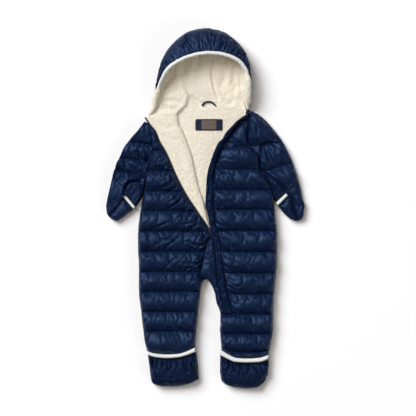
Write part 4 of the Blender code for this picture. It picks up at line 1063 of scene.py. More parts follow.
def sherpa_fleece():
    """Knitted polyester pile brushed into curls: matt cream, with painted shade that makes it darker and
    yellower in the pits between its 4 mm tufts than on their tops. Its fibres are drawn in strands of
    1.4 mm, as they are too fine to show."""
    look, tree, shader = started("sherpa_fleece")
    place = add(tree, "ShaderNodeTexCoord").outputs["Object"]
    curls = add(tree, "ShaderNodeTexVoronoi", {"Vector": place, "Scale": 250.0, "Smoothness": 0.6,
                                               "Randomness": 1.0}, feature="SMOOTH_F1")
    fibres = add(tree, "ShaderNodeTexNoise", {"Vector": place, "Scale": 700.0, "Detail": 3.0,
                                              "Roughness": 0.7, "Distortion": 1.5})
    broad = add(tree, "ShaderNodeTexNoise", {"Vector": place, "Scale": 110.0, "Detail": 2.0})
    tuft = add(tree, "ShaderNodeMapRange", {"Value": curls.outputs["Distance"], "From Min": 0.15,
                                            "From Max": 0.75, "To Min": 1.0, "To Max": 0.0})
    mixed = add(tree, "ShaderNodeMath", {0: tuft.outputs[0], 1: fibres.outputs["Fac"]}, operation="ADD")
    height = add(tree, "ShaderNodeMath", {0: mixed.outputs[0], 1: broad.outputs["Fac"]}, operation="ADD")
    # Painted shade: the colour is darker and yellower where the pile is low, in the pits between tufts
    tuft_top_painted_shade = add(tree, "ShaderNodeMapRange", {"Value": height.outputs[0], "From Min": 0.75, "From Max": 1.9})
    bump = add(tree, "ShaderNodeBump", {"Height": height.outputs[0], "Strength": 0.3, "Distance": 0.0006})
    feed(tree, shader, {
        "Base Color": blend(tree, tuft_top_painted_shade.outputs[0], "#dfd5bf", "#ece6d5"),
        "Normal": bump.outputs["Normal"],
        "Roughness": 0.95,
        "Specular IOR Level": 0.15,
        "Sheen Weight": 0.25,
        "Sheen Roughness": 0.6,
    })
    return look


def folded_elastic():
    """Polyamide fold-over elastic, braided: satin white with fine ribs across its length, drawn 3 mm
    apart, as real ones of 0.8 mm are too fine to show. The grooves between the ribs are painted grey as
    shade."""
    look, tree, shader = started("folded_elastic")
    woven = add(tree, "ShaderNodeUVMap", uv_map="cloth").outputs["UV"]
    ribs = add(tree, "ShaderNodeTexWave", {"Vector": woven, "Scale": 100.0, "Distortion": 0.6},
               bands_direction="X")
    bump = add(tree, "ShaderNodeBump", {"Height": ribs.outputs["Fac"], "Strength": 0.4, "Distance": 0.0004})
    # Painted shade: the colour is greyer in the grooves between the ribs
    feed(tree, shader, {
        "Base Color": blend(tree, ribs.outputs["Fac"], "#d6d7d6", "#f3f3f0"),
        "Normal": bump.outputs["Normal"],
        "Roughness": 0.62,
        "Specular IOR Level": 0.3,
    })
    return look


def woven_band(name, dark, pale, scale):
    """Polyester tape woven in a fine twill: matt, with slanting ridges drawn 0.444 / scale metres
    apart, as real ones of 0.5 mm are too fine to show. Its colour is darker in the grooves between the
    ridges, which is painted shade, and is flecked at random."""
    look, tree, shader = started(name)
    woven = add(tree, "ShaderNodeUVMap", uv_map="cloth").outputs["UV"]
    twill = add(tree, "ShaderNodeTexWave", {"Vector": woven, "Scale": scale, "Distortion": 0.4},
                bands_direction="DIAGONAL")
    fleck = add(tree, "ShaderNodeTexNoise", {"Vector": woven, "Scale": 400.0, "Detail": 2.0})
    # Painted shade in the twill's grooves, times a random fleck of tone
    mixed = add(tree, "ShaderNodeMath", {0: twill.outputs["Fac"], 1: fleck.outputs["Fac"]},
                operation="MULTIPLY")
    bump = add(tree, "ShaderNodeBump", {"Height": twill.outputs["Fac"], "Strength": 0.4, "Distance": 0.0003})
    feed(tree, shader, {
        "Base Color": blend(tree, mixed.outputs[0], dark, pale),
        "Normal": bump.outputs["Normal"],
        "Roughness": 0.72,
        "Specular IOR Level": 0.25,
    })
    return look


def zip_acetal():
    """Moulded acetal zip teeth: navy with a dull gloss and a moulding grain, drawn 1 mm wide, as a real
    one is too fine to show."""
    look, tree, shader = started("zip_acetal")
    place = add(tree, "ShaderNodeTexCoord").outputs["Object"]
    grain = add(tree, "ShaderNodeTexNoise", {"Vector": place, "Scale": 900.0, "Detail": 1.0})
    colour = blend(tree, grain.outputs["Fac"], "#0a1226", "#141f38")
    feed(tree, shader, {"Base Color": colour, "Roughness": 0.38})
    return look


# Scales of the twill's ridges on tapes, 3 mm apart, and on labels, 2 mm apart
TAPE_TWILL = 143.31
LABEL_TWILL = 222.93

NYLON = nylon_taffeta("nylon_taffeta", "#09152f", "#0f1f40", 0.29)
# The cover over the zip and the flaps over the feet are drawn tight, so that less of their gloss shows. Their
# navy is also darker than the rest of the same cloth, which is painted shade
NYLON_PRESSED_PAINTED_SHADE = nylon_taffeta("nylon_taffeta_pressed_painted_shade", "#071229", "#0c1a37", 0.13)
FLEECE = sherpa_fleece()
ELASTIC = folded_elastic()
TAPE = woven_band("navy_tape_twill", "#1a2440", "#33405f", TAPE_TWILL)
LABEL = woven_band("label_taffeta", "#10192e", "#222e48", LABEL_TWILL)
PATCH = woven_band("damask_patch", "#564c48", "#85766c", LABEL_TWILL)
TEETH = zip_acetal()


# Body -------------------------------------------------------------------------------------------------

# Where the back's lining ends, the crotch, and where the zip's edge gives way to the crotch seam
HIP = -95.0
CROTCH = -156.2
ZIP_EDGE_END = -58.0

# For each curved end of a panel: the height of its row before it is bent to the curve, and the height
# from which the rows begin to bend
NECK_ROWS = (205.0, 150.0)
FACING_ROWS = (200.2, 165.0)
TOE_ROWS = (-378.0, -345.0)
HEM_RIGHT_ROWS = (-312.0, -272.0)
HEM_LEFT_ROWS = (-320.0, -278.0)

# The upper ends of the two fronts, and the first and last heights of the facing
FRONT_RIGHT_TOP = 181.5
FRONT_LEFT_TOP = 204.0
FACING_ENDS = (201.2, -41.0)

# The zip: its tape's ends, the height below which the tape widens to the cover, and the heights of its
# first and last teeth, how far apart they lie and how far in from the tape's edge
TAPE_ENDS = (200.5, -58.5)
TAPE_WIDENS = -41.3
TEETH_ENDS = (196.0, -54.0)
TOOTH_PITCH = 2.6
TOOTH_IN = 0.9
# A tooth's foot and head: height above the back, half its length along the tape and half its width
TOOTH = ((5.4, 0.85, 1.5), (7.2, 0.6, 1.1))
BOX_FACES = ((0, 3, 2, 1), (4, 5, 6, 7), (0, 1, 5, 4), (1, 2, 6, 5), (2, 3, 7, 6), (3, 0, 4, 7))


def back_half(outer, inner, toe):
    """One half of the back, with a 1 for each point in the recess for its lining."""
    y, _ = dense_rows((), NECK_ROWS[0], TOE_ROWS[0])
    left, right = outer(y), inner(y)
    sign = np.sign(right - left)
    width = np.abs(right - left)
    rim = (0, 1, 2.4, 4.2, RIM)
    from_outer = [*rim, RIM + 1.0, *(width * share for share in np.linspace(0.14, 0.86, 15))]
    columns = [left + sign * d for d in from_outer] + [right - sign * d for d in rim[::-1]]
    x = np.stack(columns, axis=1)
    recessed = np.zeros(x.shape)
    recessed[y > HIP, len(rim) :] = 1.0
    grid = np.stack([x, np.repeat(y[:, None], x.shape[1], axis=1), recessed], axis=-1)
    bend_to(grid, NECK, NECK_ROWS)
    bend_to(grid, toe, TOE_ROWS)
    return grid


def make_back():
    """The whole back in one, flat below, with its edge drawn in a little at every stitch line, by
    n = exp(-(s/3.5)^2) for the distance s from it."""
    halves = [
        back_half(lambda y: joined(ARMHOLE_RIGHT, SIDE_RIGHT, y) + HAIR,
                  lambda y: across(INLEG_RIGHT, y), TOE_RIGHT),
        back_half(lambda y: joined(ARMHOLE_LEFT, SIDE_LEFT, y) - HAIR,
                  lambda y: across(INLEG_LEFT, y), TOE_LEFT),
    ]
    flat, faces, loop, edge = laid_out(halves)
    of_left = np.array([STITCHES_LEFT[: len(STITCHES_RIGHT)]])
    stitches = np.where(flat[:, :1] < 5, np.array([STITCHES_RIGHT]), of_left)
    near = np.exp(-((np.abs(flat[:, 1:2] - stitches).min(axis=1) / 3.5) ** 2))
    drop = 3.0 * (1 - rounded(edge, RIM)) + 1.2 * near * (edge < RIM)
    z = np.where(flat[:, 2] > 0, RECESS, BACK_TOP - drop)
    points = np.column_stack([flat[:, :2], z])
    pinch = near[loop]
    skirt = ((7.5, -0.5 + 1.3 * pinch), (5.0, -0.7 + 1.6 * pinch), (2.4, 0.3 + 1.0 * pinch), (0.0, 2.4))
    solid, solid_faces = closed_sheet(points, faces, loop, skirt)
    made = piece("back_cloth", solid, solid_faces, NYLON, "back")


def fleece_sheet(name, grid, floor, height, node, creases, seed, tuft=1.0):
    """A fleece sheet: its grid raised by height(points, edge), with tufts of pile, closed below."""
    flat, faces, loop, edge = laid_out([grid])
    z = floor + height(flat, edge)
    z -= crease_relief(flat, creases) * rounded(edge, 6)
    points = np.column_stack([flat[:, :2], z])
    points += pile(points, seed) * tuft * rounded(edge, 3.0)[:, None]
    solid, solid_faces = closed_sheet(points, faces, loop, ((floor, 0.0),))
    return piece(name, solid, solid_faces, FLEECE, node)


def pile(points, seed):
    """How tufts of 3 and 5 mm move a fleece's points: up by noise, and half as far sideways."""
    tall = 0.45 * noise(points, 5.2, seed) + 0.35 * noise(points, 3.2, seed + 1)
    lean_x = 0.35 * noise(points, 4.1, seed + 2)
    lean_y = 0.35 * noise(points, 4.1, seed + 3)
    return np.column_stack([lean_x, lean_y, tall])


def make_back_lining():
    """The fleece in the back's recess, from the neck seam to the hips."""
    y, _ = dense_rows((), NECK_ROWS[0] + 2 * SEAM, HIP + 1.0, FLEECE_GRID)
    gap = RIM + 1.0 + 2 * HAIR
    left = joined(ARMHOLE_RIGHT, SIDE_RIGHT, y) + gap
    right = joined(ARMHOLE_LEFT, SIDE_LEFT, y) - gap
    grid = patch(left, right, y, 0 * y, shares(270, FLEECE_GRID))
    bend_to(grid, NECK, NECK_ROWS)
    thick = BACK_TOP - RECESS - SEAM - 0.2
    made = fleece_sheet("back_lining_fleece", grid, RECESS + SEAM, lambda p, edge: thick, "back_lining",
                        LINING_CREASES, seed=3, tuft=0.8)


def front_edges(y):
    """The right front's inner edge: zip, then crotch seam, then inside leg."""
    zip_side = across(ZIP_EDGE, y) - ZIP_WIDTH - HAIR
    seam_side = across(CROTCH_SEAM, y) - HAIR
    leg_side = across(INLEG_RIGHT, y)
    return np.where(y > ZIP_EDGE_END, zip_side, np.where(y > CROTCH, seam_side, leg_side))


def make_front_right():
    """The right front and leg, cut to the zip edge and the crotch seam."""
    y, full = dense_rows(STITCHES_RIGHT, FRONT_RIGHT_TOP, HEM_RIGHT_ROWS[0])
    side = joined(ARMHOLE_RIGHT, SIDE_RIGHT, y) + HAIR
    edge = np.maximum(front_edges(y), side + 1.2)
    grid = patch(side, edge, y, full, shares(155))
    bend_to(grid, HEM_RIGHT, HEM_RIGHT_ROWS)

    def by_the_zip(p):
        """The cloth is looser by 0.9 exp(-d/26) at the distance d from the zip, below the chest."""
        away = across(ZIP_EDGE, p[:, 1]) - p[:, 0]
        return 0.9 * np.exp(-np.clip(away, 0, None) / 26.0) * (p[:, 1] < 60)

    from_zip = fan(down_edge(ZIP_EDGE, 120.0, ZIP_EDGE_END, 6.5), -2.3, reach=62.0, deep=3.6, seed=5)
    from_crotch = fan(down_edge(CROTCH_SEAM, -62.0, -152.0, 6.5), -2.45, reach=46.0, deep=3.9, seed=6)
    sewn = [curve_line(CROTCH_SEAM), curve_line(ARMHOLE_RIGHT), curve_line(ZIP_EDGE) - (4, 0)]
    quilted_panel("front_right_cloth", [grid], BODY_FLOOR, BODY_QUILT, seed=1,
                  creases=FRONT_RIGHT_CREASES + from_zip + from_crotch, sewn=sewn, loose=by_the_zip,
                  short=(56, -2.35))


def make_front_left():
    """The left front and leg, with a valley beside the rolled edge of the chest."""
    y, full = dense_rows(STITCHES_LEFT, FRONT_LEFT_TOP, HEM_LEFT_ROWS[0])
    side = joined(ARMHOLE_LEFT, SIDE_LEFT, y) - HAIR
    edge = np.where(y > COVER_END - 2, across(PLACKET_RIGHT, y) + HAIR, across(INLEG_LEFT, y))
    edge = np.minimum(edge, side - 1.2)
    grid = patch(edge, side, y, full, shares(130))
    bend_to(grid, HEM_LEFT, HEM_LEFT_ROWS)

    def valley(p, z, _):
        """EDGE + (z - EDGE) (1 - 0.9 c exp(-(d/24)^2)) for the share c of the way up the chest and the
        distance d from the cover."""
        d = np.clip(p[:, 0] - across(PLACKET_RIGHT, p[:, 1]), 0, None)
        chest = np.clip((p[:, 1] - 70.0) / 40.0, 0, 1)
        return EDGE + (z - EDGE) * (1 - chest * np.exp(-((d / 24.0) ** 2)) * 0.9)

    from_cover = fan(down_edge(PLACKET_RIGHT, 118.0, -228.0, 8.0), -0.6, reach=42.0, deep=3.2, seed=7)
    quilted_panel("front_left_cloth", [grid], BODY_FLOOR, BODY_QUILT, seed=2,
                  creases=FRONT_LEFT_CREASES + from_cover, depth=valley,
                  sewn=[curve_line(PLACKET_RIGHT), curve_line(ARMHOLE_LEFT)], short=(56, -0.75))


def make_zip_cover():
    """The plain strip down the left front over the zip, rolled up along the chest."""
    y, _ = dense_rows((), COVER_TOP, COVER_END, 2.0)
    left = across(PLACKET_LEFT, y)
    right = np.maximum(across(PLACKET_RIGHT, y) - HAIR, left + 1.5)
    grid = patch(left, right, y, 1 + 0 * y, shares(18, 1.6))

    def rolled(p, _, edge):
        """COVER_EDGE + (COVER_RISE + COVER_ROLL c) r(d) - g for the share c of the way up the chest and
        the round r of the distance d from its edge, less a groove g along its middle."""
        up = np.clip((p[:, 1] - 60) / 60, 0, 1)
        over = (p[:, 0] - across(PLACKET_LEFT, p[:, 1])) / 15.0
        groove = (1.9 - 1.1 * up) * np.exp(-(((over - 0.5) / 0.14) ** 2))
        return COVER_EDGE + (COVER_RISE + COVER_ROLL * up) * rounded(edge, 4.5) - groove

    # The cover's darker navy look is painted shade
    quilted_panel("zip_cover_cloth", [grid], BODY_FLOOR, BODY_QUILT, seed=4, creases=COVER_CREASES,
                  depth=rolled, rough=0.15, look=NYLON_PRESSED_PAINTED_SHADE)


def make_gusset():
    """The wedge between the crotch seam and the zip cover. From the seam's end to the crotch its edge
    runs straight down, and below that along the left leg."""
    y, _ = dense_rows((), -62.5, -230.0)
    seam_end = -152
    crotch = -156
    crossing = -3.5
    beside_leg = np.maximum(across(INLEG_LEFT, y), crossing)
    left = np.where(y > seam_end, across(CROTCH_SEAM, y) + HAIR, beside_leg)
    left = np.where((y < seam_end) & (y > crotch), crossing, left)
    right = np.maximum(across(PLACKET_LEFT, y) - HAIR, left + 1.5)
    grid = patch(left, right, y, 0.55 + 0 * y, shares(34))
    quilted_panel("gusset_cloth", [grid], BODY_FLOOR, GUSSET_QUILT, seed=5,
                  sewn=[curve_line(CROTCH_SEAM), curve_line(PLACKET_LEFT)], rough=1.5, short=(14, -2.0))


def make_zip():
    """The zip tape on the right front's edge, whose lower end widens to the cover, and its teeth."""
    y, _ = dense_rows((), *TAPE_ENDS, 3.0)
    edge = across(ZIP_EDGE, y)
    right = np.where(y < TAPE_WIDENS, np.maximum(across(PLACKET_LEFT, y), edge), edge) - HAIR
    grid = patch(edge - ZIP_WIDTH, right, y, 0 * y, (0, 0.25, 0.5, 0.75, 1))
    flat, faces, loop, within = laid_out([grid])
    z = BACK_TOP + 5.0 + 1.2 * rounded(within, 1.5)
    points, all_faces = closed_sheet(np.column_stack([flat[:, :2], z]), faces, loop, ((BODY_FLOOR, 0.0),))
    tape = piece("zip_tape", points, all_faces, TAPE, "zip_right")

    tooth_y = np.arange(*TEETH_ENDS, -TOOTH_PITCH)
    tooth_x = across(ZIP_EDGE, tooth_y)
    slope = np.gradient(tooth_x, tooth_y)
    way = unit(np.stack([-slope, -np.ones_like(slope)], axis=1))
    side = to_left(way)
    middle = np.stack([tooth_x - TOOTH_IN, tooth_y], axis=1)
    corners = []
    for height, long_half, wide_half in TOOTH:
        for a, b in ((-1, -1), (1, -1), (1, 1), (-1, 1)):
            flat_corner = middle + way * (a * long_half) + side * (b * wide_half)
            corners.append(np.column_stack([flat_corner, np.full(len(middle), BACK_TOP + height)]))
    boxes = np.stack(corners, axis=1)
    tooth_faces = (np.arange(len(boxes))[:, None, None] * 8 + np.array(BOX_FACES)).reshape(-1, 4)
    teeth = turned_out(piece("zip_teeth", boxes.reshape(-1, 3), [*tooth_faces], TEETH, None))


def make_facing():
    """The fleece facing behind the right front's zip, which lies open over the back's lining."""
    y, _ = dense_rows((), *FACING_ENDS, FLEECE_GRID)
    left = across(ZIP_EDGE, y) + HAIR
    right = np.minimum(across(FACING_EDGE, y), across(PLACKET_LEFT, y) - HAIR)
    grid = patch(left, right, y, 0 * y, shares(60, FLEECE_GRID))
    bend_to(grid, NECK, FACING_ROWS)

    def lapel(p, _):
        """0.4 + 7.4 r(a + 2) (0.35 e(b) + 0.65 r(b)) for the distances a from the zip and b from the
        free edge, where r is round and e eased: it rises from the zip and rolls down to its edge."""
        from_zip = p[:, 0] - across(ZIP_EDGE, p[:, 1])
        from_edge = np.minimum(across(FACING_EDGE, p[:, 1]), across(PLACKET_LEFT, p[:, 1])) - p[:, 0]
        roll = 0.35 * eased((from_edge + 1.5) / 14.0) + 0.65 * rounded(from_edge, 5.0)
        return 0.4 + 7.4 * rounded(from_zip + 2.0, 8.0) * roll

    made = fleece_sheet("facing_fleece", grid, BODY_FLOOR, lapel, "facing_right", FACING_CREASES, seed=7)


# Sleeves, mittens and feet ----------------------------------------------------------------------------

# Millimetres across a folded elastic from edge to edge
BAND_ACROSS = 12


def corner_share(sleeve, hand):
    """How far along the cuff line the cuff binding starts."""
    a = np.array([sleeve["ax"][-1], sleeve["ay"][-1]])
    b = np.array([sleeve["bx"][-1], sleeve["by"][-1]])
    c = np.array([hand["bx"][0], hand["by"][0]])
    return float(np.linalg.norm(c - a) / np.linalg.norm(b - a))


def sleeve_grids(sleeve, hand, armhole, stitches):
    """The sleeve down to its cuff line, and the hand's back that runs on from its outer part."""
    corner = corner_share(sleeve, hand)
    last = float(sleeve["s"][-1])
    at, full = dense_rows(stitches, 0.0, last, last / 90)
    outer = np.linspace(0, corner, 20)
    main = ladder(sleeve, at, full, [*outer, *np.linspace(corner, 1, 20)[1:]], armhole=armhole)
    hand_at = np.linspace(0, hand["s"][-1], 40)
    back_of_hand = ladder(hand, hand_at, 0.45 + 0 * hand_at, outer / corner)
    back_of_hand[0] = main[-1, : len(outer)]
    return [main, back_of_hand]


def palm_grids(sleeve, hand, mitten, armhole):
    """The sleeve's back and the palm below the mitten flap, as two ladders."""
    at = np.linspace(0, sleeve["s"][-1], 60)
    outer = ladder(sleeve, at, 0 * at, shares(80, 6), armhole=armhole)
    reach = np.linspace(0, 1, 30)
    hand_reach = reach * hand["s"][-1]
    flap_reach = np.clip(reach * 1.15 - 0.15, 0, 1) * mitten["s"][-1]
    palm = {
        "s": reach,
        "hx": smooth(hand["s"], hand["ax"], hand_reach),
        "hy": smooth(hand["s"], hand["ay"], hand_reach),
        "mx": smooth(mitten["s"], mitten["bx"], flap_reach),
        "my": smooth(mitten["s"], mitten["by"], flap_reach),
    }
    palm["mx"][0] = sleeve["bx"][-1]
    palm["my"][0] = sleeve["by"][-1]
    under = ladder(palm, reach, 0 * reach, shares(80, 6), ("hx", "hy", "mx", "my"))
    under[0] = outer[-1]
    return [outer, under]


def elastic_band(name, grid, height, floor, node):
    """A band of folded elastic on its grid, raised to height(edge), its ribs across its length."""
    rows, cols, _ = grid.shape
    flow = cloth_map(travelled(grid[:, 0, :2]), np.linspace(0, BAND_ACROSS, cols))
    points = grid.reshape(-1, 3).copy()
    faces, loop = outline(points, grid_faces(rows, cols))
    points[:, 2] = height(distance_to(points, points[loop]))
    solid, solid_faces = closed_sheet(points, faces, loop, ((floor, 0.0),))
    flow = np.concatenate([flow, flow[loop]])
    made = piece(name, solid, solid_faces, ELASTIC, node, flow=flow)


def make_sleeve(side, armhole, sleeve, hand, mitten, cuff, stitches, creases, seed):
    """A sleeve's back and front, the mitten flap over its hand, and the binding on the flap's edge."""
    grids = sleeve_grids(sleeve, hand, armhole, stitches)
    quilted_panel(f"sleeve_{side}_front_cloth", grids, SLEEVE_FLOOR, SLEEVE_QUILT, seed, creases,
                  sewn=[curve_line(armhole)], rough=0.9, billow=2.6,
                  short=(30, -2.0 if side == "right" else -0.9))

    flat, faces, loop, edge = laid_out(palm_grids(sleeve, hand, mitten, armhole))
    z = SLEEVE_BACK_TOP - 2.0 * (1 - rounded(edge, 5.0))
    skirt = ((4.2, -0.3), (2.2, 0.6), (0.0, 2.6))
    solid, solid_faces = closed_sheet(np.column_stack([flat[:, :2], z]), faces, loop, skirt)
    made = piece(f"sleeve_{side}_back_cloth", solid, solid_faces, NYLON, f"sleeve_{side}_back")

    at = np.linspace(0, mitten["s"][-1], 32)
    flap = ladder(mitten, at, 0.5 + 0 * at, shares(36, 1.9))
    quilted_panel(f"mitten_{side}_cloth", [flap], SLEEVE_FLOOR, MITTEN_QUILT, seed + 50, rough=1.2)

    at = np.linspace(0, 1, 24)
    band = ladder(cuff, at, 0 * at, np.linspace(0.1, 0.88, 9))
    elastic_band(f"cuff_binding_{side}_elastic", band,
                 lambda e: SLEEVE_BACK_TOP + 9.0 + 3.2 * rounded(e, 3.0), SLEEVE_FLOOR,
                 f"cuff_binding_{side}")


# Gathers that a foot's binding draws into its flap
GATHERS = 16


def make_foot(side, foot, seed):
    """The foot flap drawn over the leg's end, gathered into its white binding."""
    last = foot["s"][-1]
    at = np.linspace(0, last, 57)
    down = shares(64, 2.0)
    flap = ladder(foot, at, 0.6 + 0 * at, down, ("low_x", "low_y", "toe_x", "toe_y"))
    low = np.linspace(0.15, last - 0.15, GATHERS) + 0.08 * np.sin(5.0 * np.arange(GATHERS) + seed)
    low_x, low_y = (smooth(foot["s"], foot[name], low) for name in ("low_x", "low_y"))
    gathers = fan(np.column_stack([low_x, low_y + 2]), -1.5, reach=36.0, deep=4.2, seed=seed + 3)

    def drawn_in(_points, _height, edge):
        """EDGE + 8 r(d) for the round r of the distance d from its edge."""
        return EDGE + 8.0 * rounded(edge, 11.0)

    # The flap's darker navy look is painted shade
    quilted_panel(f"foot_{side}_cloth", [flap], BODY_FLOOR, BODY_QUILT, seed, gathers, depth=drawn_in,
                  rough=0.9, look=NYLON_PRESSED_PAINTED_SHADE, short=(16, -1.3), fade=3.0)
    at = np.linspace(0, last, 60)
    band = ladder(foot, at, 0 * at, np.linspace(0.03, 0.96, 9), ("top_x", "top_y", "low_x", "low_y"))
    elastic_band(f"foot_binding_{side}_elastic", band,
                 lambda e: BODY_FLOOR + 10.0 + 4.5 * rounded(e, 3.5), BODY_FLOOR,
                 f"foot_binding_{side}")


# Hood -------------------------------------------------------------------------------------------------


def hood_surface(at, floor_t, low_t, high_t):
    """The hood's outer surface and its direction up the wall, row by row. Along the floor it is
    neck + (foot - neck) t. Then a quarter ellipse to the widest line, foot + (wide - foot) sin t and
    h (1 - cos t), and above it an arc of `curl` degrees in to the brim."""
    h = {name: smooth(HOOD["s"], HOOD[name], at) for name in HOOD}
    wide = np.stack([h["wx"], h["wy"]], axis=1)
    brim = np.stack([h["bx"], h["by"]], axis=1)
    inward = unit(np.array(HOOD_MIDDLE) - wide)
    foot = wide + inward * h["foot"][:, None]
    neck = np.stack([foot[:, 0], smooth(NECK["x"], NECK["y"], foot[:, 0]) + 2 * SEAM], axis=1)
    curl = np.radians(h["curl"])
    rows, climb = [], []
    for t in floor_t:
        rows.append(np.column_stack([neck + (foot - neck) * t, 0 * at]))
        climb.append(np.column_stack([foot - neck, 0 * at]))
    for t in low_t:
        turn = t * np.pi / 2
        plan = wide + (foot - wide) * (1 - np.sin(turn))
        rows.append(np.column_stack([plan, h["wide_z"] * (1 - np.cos(turn))]))
        climb.append(np.column_stack([(wide - foot) * np.cos(turn), h["wide_z"] * np.sin(turn)]))
    for t in high_t:
        reach = brim - wide
        rise = h["brim_z"] - h["wide_z"]
        turn = t * curl
        plan = wide + reach * ((1 - np.cos(turn)) / (1 - np.cos(curl)))[:, None]
        rows.append(np.column_stack([plan, h["wide_z"] + rise * np.sin(turn) / np.sin(curl)]))
        over = reach * (np.sin(turn) / (1 - np.cos(curl)))[:, None]
        climb.append(np.column_stack([over, rise * np.cos(turn) / np.sin(curl)]))
    return np.stack(rows), np.stack(climb)


def hood_normals(climb, at, *shares_up):
    """Unit normals of the hood's surface, out of the hood and down below its floor: the cross product
    of its directions up the wall and along the brim."""
    nudge = 0.02
    sideways = hood_surface(at + nudge, *shares_up)[0] - hood_surface(at - nudge, *shares_up)[0]
    normal = unit(np.cross(climb, sideways))
    normal[: len(shares_up[0])] = (0, 0, -1)
    return normal


def hood_run(at, shares_up):
    """Millimetres along the brim's neighbourhood and up the wall, for the cloth's own map."""
    surface, _ = hood_surface(at, *shares_up)
    row = surface[len(shares_up[0]) + len(shares_up[1])]
    step = np.linalg.norm(np.diff(surface, axis=0), axis=-1).mean(axis=1)
    up = np.concatenate([[0], np.cumsum(step)])
    return np.stack(np.meshgrid(up, travelled(row), indexing="ij")[::-1], axis=-1)


# The gap on each side of a seam between two panels of the shell, in steps of the hood's table
PANEL_GAP = 0.0015
# Millimetres up the hood's wall, and the seeds of its shell's and its lining's noise
HOOD_RISE = 70
SHELL_SEED = 60
LINING_SEED = 70


def make_hood():
    """The hood's shell of a middle strip and two sides, and the same three in fleece."""
    ends = (0.0, *HOOD_SEAMS, float(HOOD["s"][-1]))
    names = ("side_right", "centre", "side_left")
    shell_up = ((0.0, 0.25, 0.5, 0.75, 1.0), np.linspace(0, 1, 11)[1:], np.linspace(0, 1, 19)[1:])
    fleece_up = (np.linspace(0, 1, 66), np.linspace(0, 1, 17)[1:], np.linspace(0, 1, 19)[1:])
    for name, start, end in zip(names, ends, ends[1:]):
        a = start + (PANEL_GAP if start > 0 else SHELL_BACK)
        b = end - (PANEL_GAP if end < ends[-1] else SHELL_BACK)
        make_hood_shell(name, a + (b - a) * shares((b - a) * HOOD_STEP, 2.6), shell_up)
        lined = start + (end - start) * shares((end - start) * HOOD_STEP, 2.2)
        make_hood_lining(name, lined, fleece_up)


def depths(at, shares_up, floor_depth, wall_depth):
    """The thickness of the hood's layer at each row and place, thinner at its two ends."""
    floor_rows = len(shares_up[0])
    count = sum(len(s) for s in shares_up)
    deep = np.full(count, wall_depth)
    deep[:floor_rows] = floor_depth + (wall_depth - floor_depth) * np.asarray(shares_up[0])
    thin = np.ones((count, len(at)))
    thin[floor_rows - 1 :] = smooth(HOOD["s"], HOOD["thin"], at)
    return deep[:, None] * thin


def make_hood_shell(name, at, shares_up):
    """One panel of the shell. Up the wall, for the share t of the way to the brim, it bulges by sin(pi t)
    and has ridges of noise 15 and 7.5 mm wide that grow as t^2.2. It is then puffed out and creased."""
    seed = SHELL_SEED
    surface, climb = hood_surface(at, *shares_up)
    normal = hood_normals(climb, at, *shares_up)
    flow = hood_run(at, shares_up)
    count, cols, _ = surface.shape
    low = len(shares_up[0])
    wall = len(shares_up[1])
    t = np.zeros(count)
    t[low : low + wall] = np.linspace(0, 0.45, wall)
    t[low + wall :] = np.linspace(0.45, 1, count - low - wall)
    t = np.repeat(t[:, None], cols, axis=1)
    along = np.repeat(at[None, :] * HOOD_STEP, count, axis=0)
    lean = along + 14 * noise(np.stack([along, 60 * t], -1), 60.0, seed)
    ridges = np.abs(noise(np.stack([lean, 18 * t], -1), 15.0, seed + 1))
    fine = np.abs(noise(np.stack([lean, 26 * t], -1), 7.5, seed + 2))
    strength = np.clip(np.minimum(at - 1.2, 14.8 - at) / 2.5, 0.25, 1)[None, :]
    gather = (3.0 * ridges + 2.2 * fine) * strength * t**2.2
    puffed = 0.6 * np.sin(np.pi * np.clip(t, 0, 1))
    outer = surface + normal * (gather + puffed - 0.5)[..., None]
    faces = grid_faces(count, cols)
    held = np.zeros((count, cols), dtype=bool)
    held[: low + 3] = True
    held[-1] = True
    held[:, 0] = True
    held[:, -1] = True
    moved = puff_out(outer.reshape(-1, 3), faces[:, ::-1], held.ravel(), pressure=0.6, growth=0.10, cap=0.7)
    flat = np.column_stack([moved[:, :2], np.zeros(len(moved))])
    relief = crease_relief(flat, HOOD_CREASES) * np.clip(5 * t.ravel() - 2.2, 0, 1)
    run = np.stack([along, HOOD_RISE * t], -1).reshape(-1, 2)
    free = (np.clip(4.5 * t - 1.9, 0, 1) * np.clip((1 - t) * 18, 0, 1)).ravel()
    relief += (crease_relief(run, gathered_hood()) - 1.8 * crumple(run, seed + 5)) * free
    outer = (moved - normal.reshape(-1, 3) * relief[:, None]).reshape(count, cols, 3)
    inner = surface - normal * depths(at, shares_up, RECESS, SHELL_WALL)[..., None]
    points, solid_faces = closed_wall(outer, inner)
    made = piece(f"hood_{name}_cloth", points, list(solid_faces), NYLON, f"hood_{name}",
                 flow=np.concatenate([flow.reshape(-1, 2)] * 2))
    turned_out(made)


def gathered_hood():
    """Short creases all over the shell, by millimetres round and up it, most of them at the brim."""
    rng = np.random.default_rng(61)
    by_brim = np.column_stack([rng.uniform(0, HOOD_RUN, 110), rng.uniform(62, 72, 110)])
    above = np.column_stack([rng.uniform(0, HOOD_RUN, 110), rng.uniform(30, 64, 110)])
    upright = fan(by_brim, -1.57, reach=26.0, deep=3.4, seed=62)
    slanting = fan(above, -1.2, reach=22.0, deep=2.8, seed=63)
    level = fan(above[::3], 0.2, reach=18.0, deep=2.4, seed=64)
    return upright + slanting + level


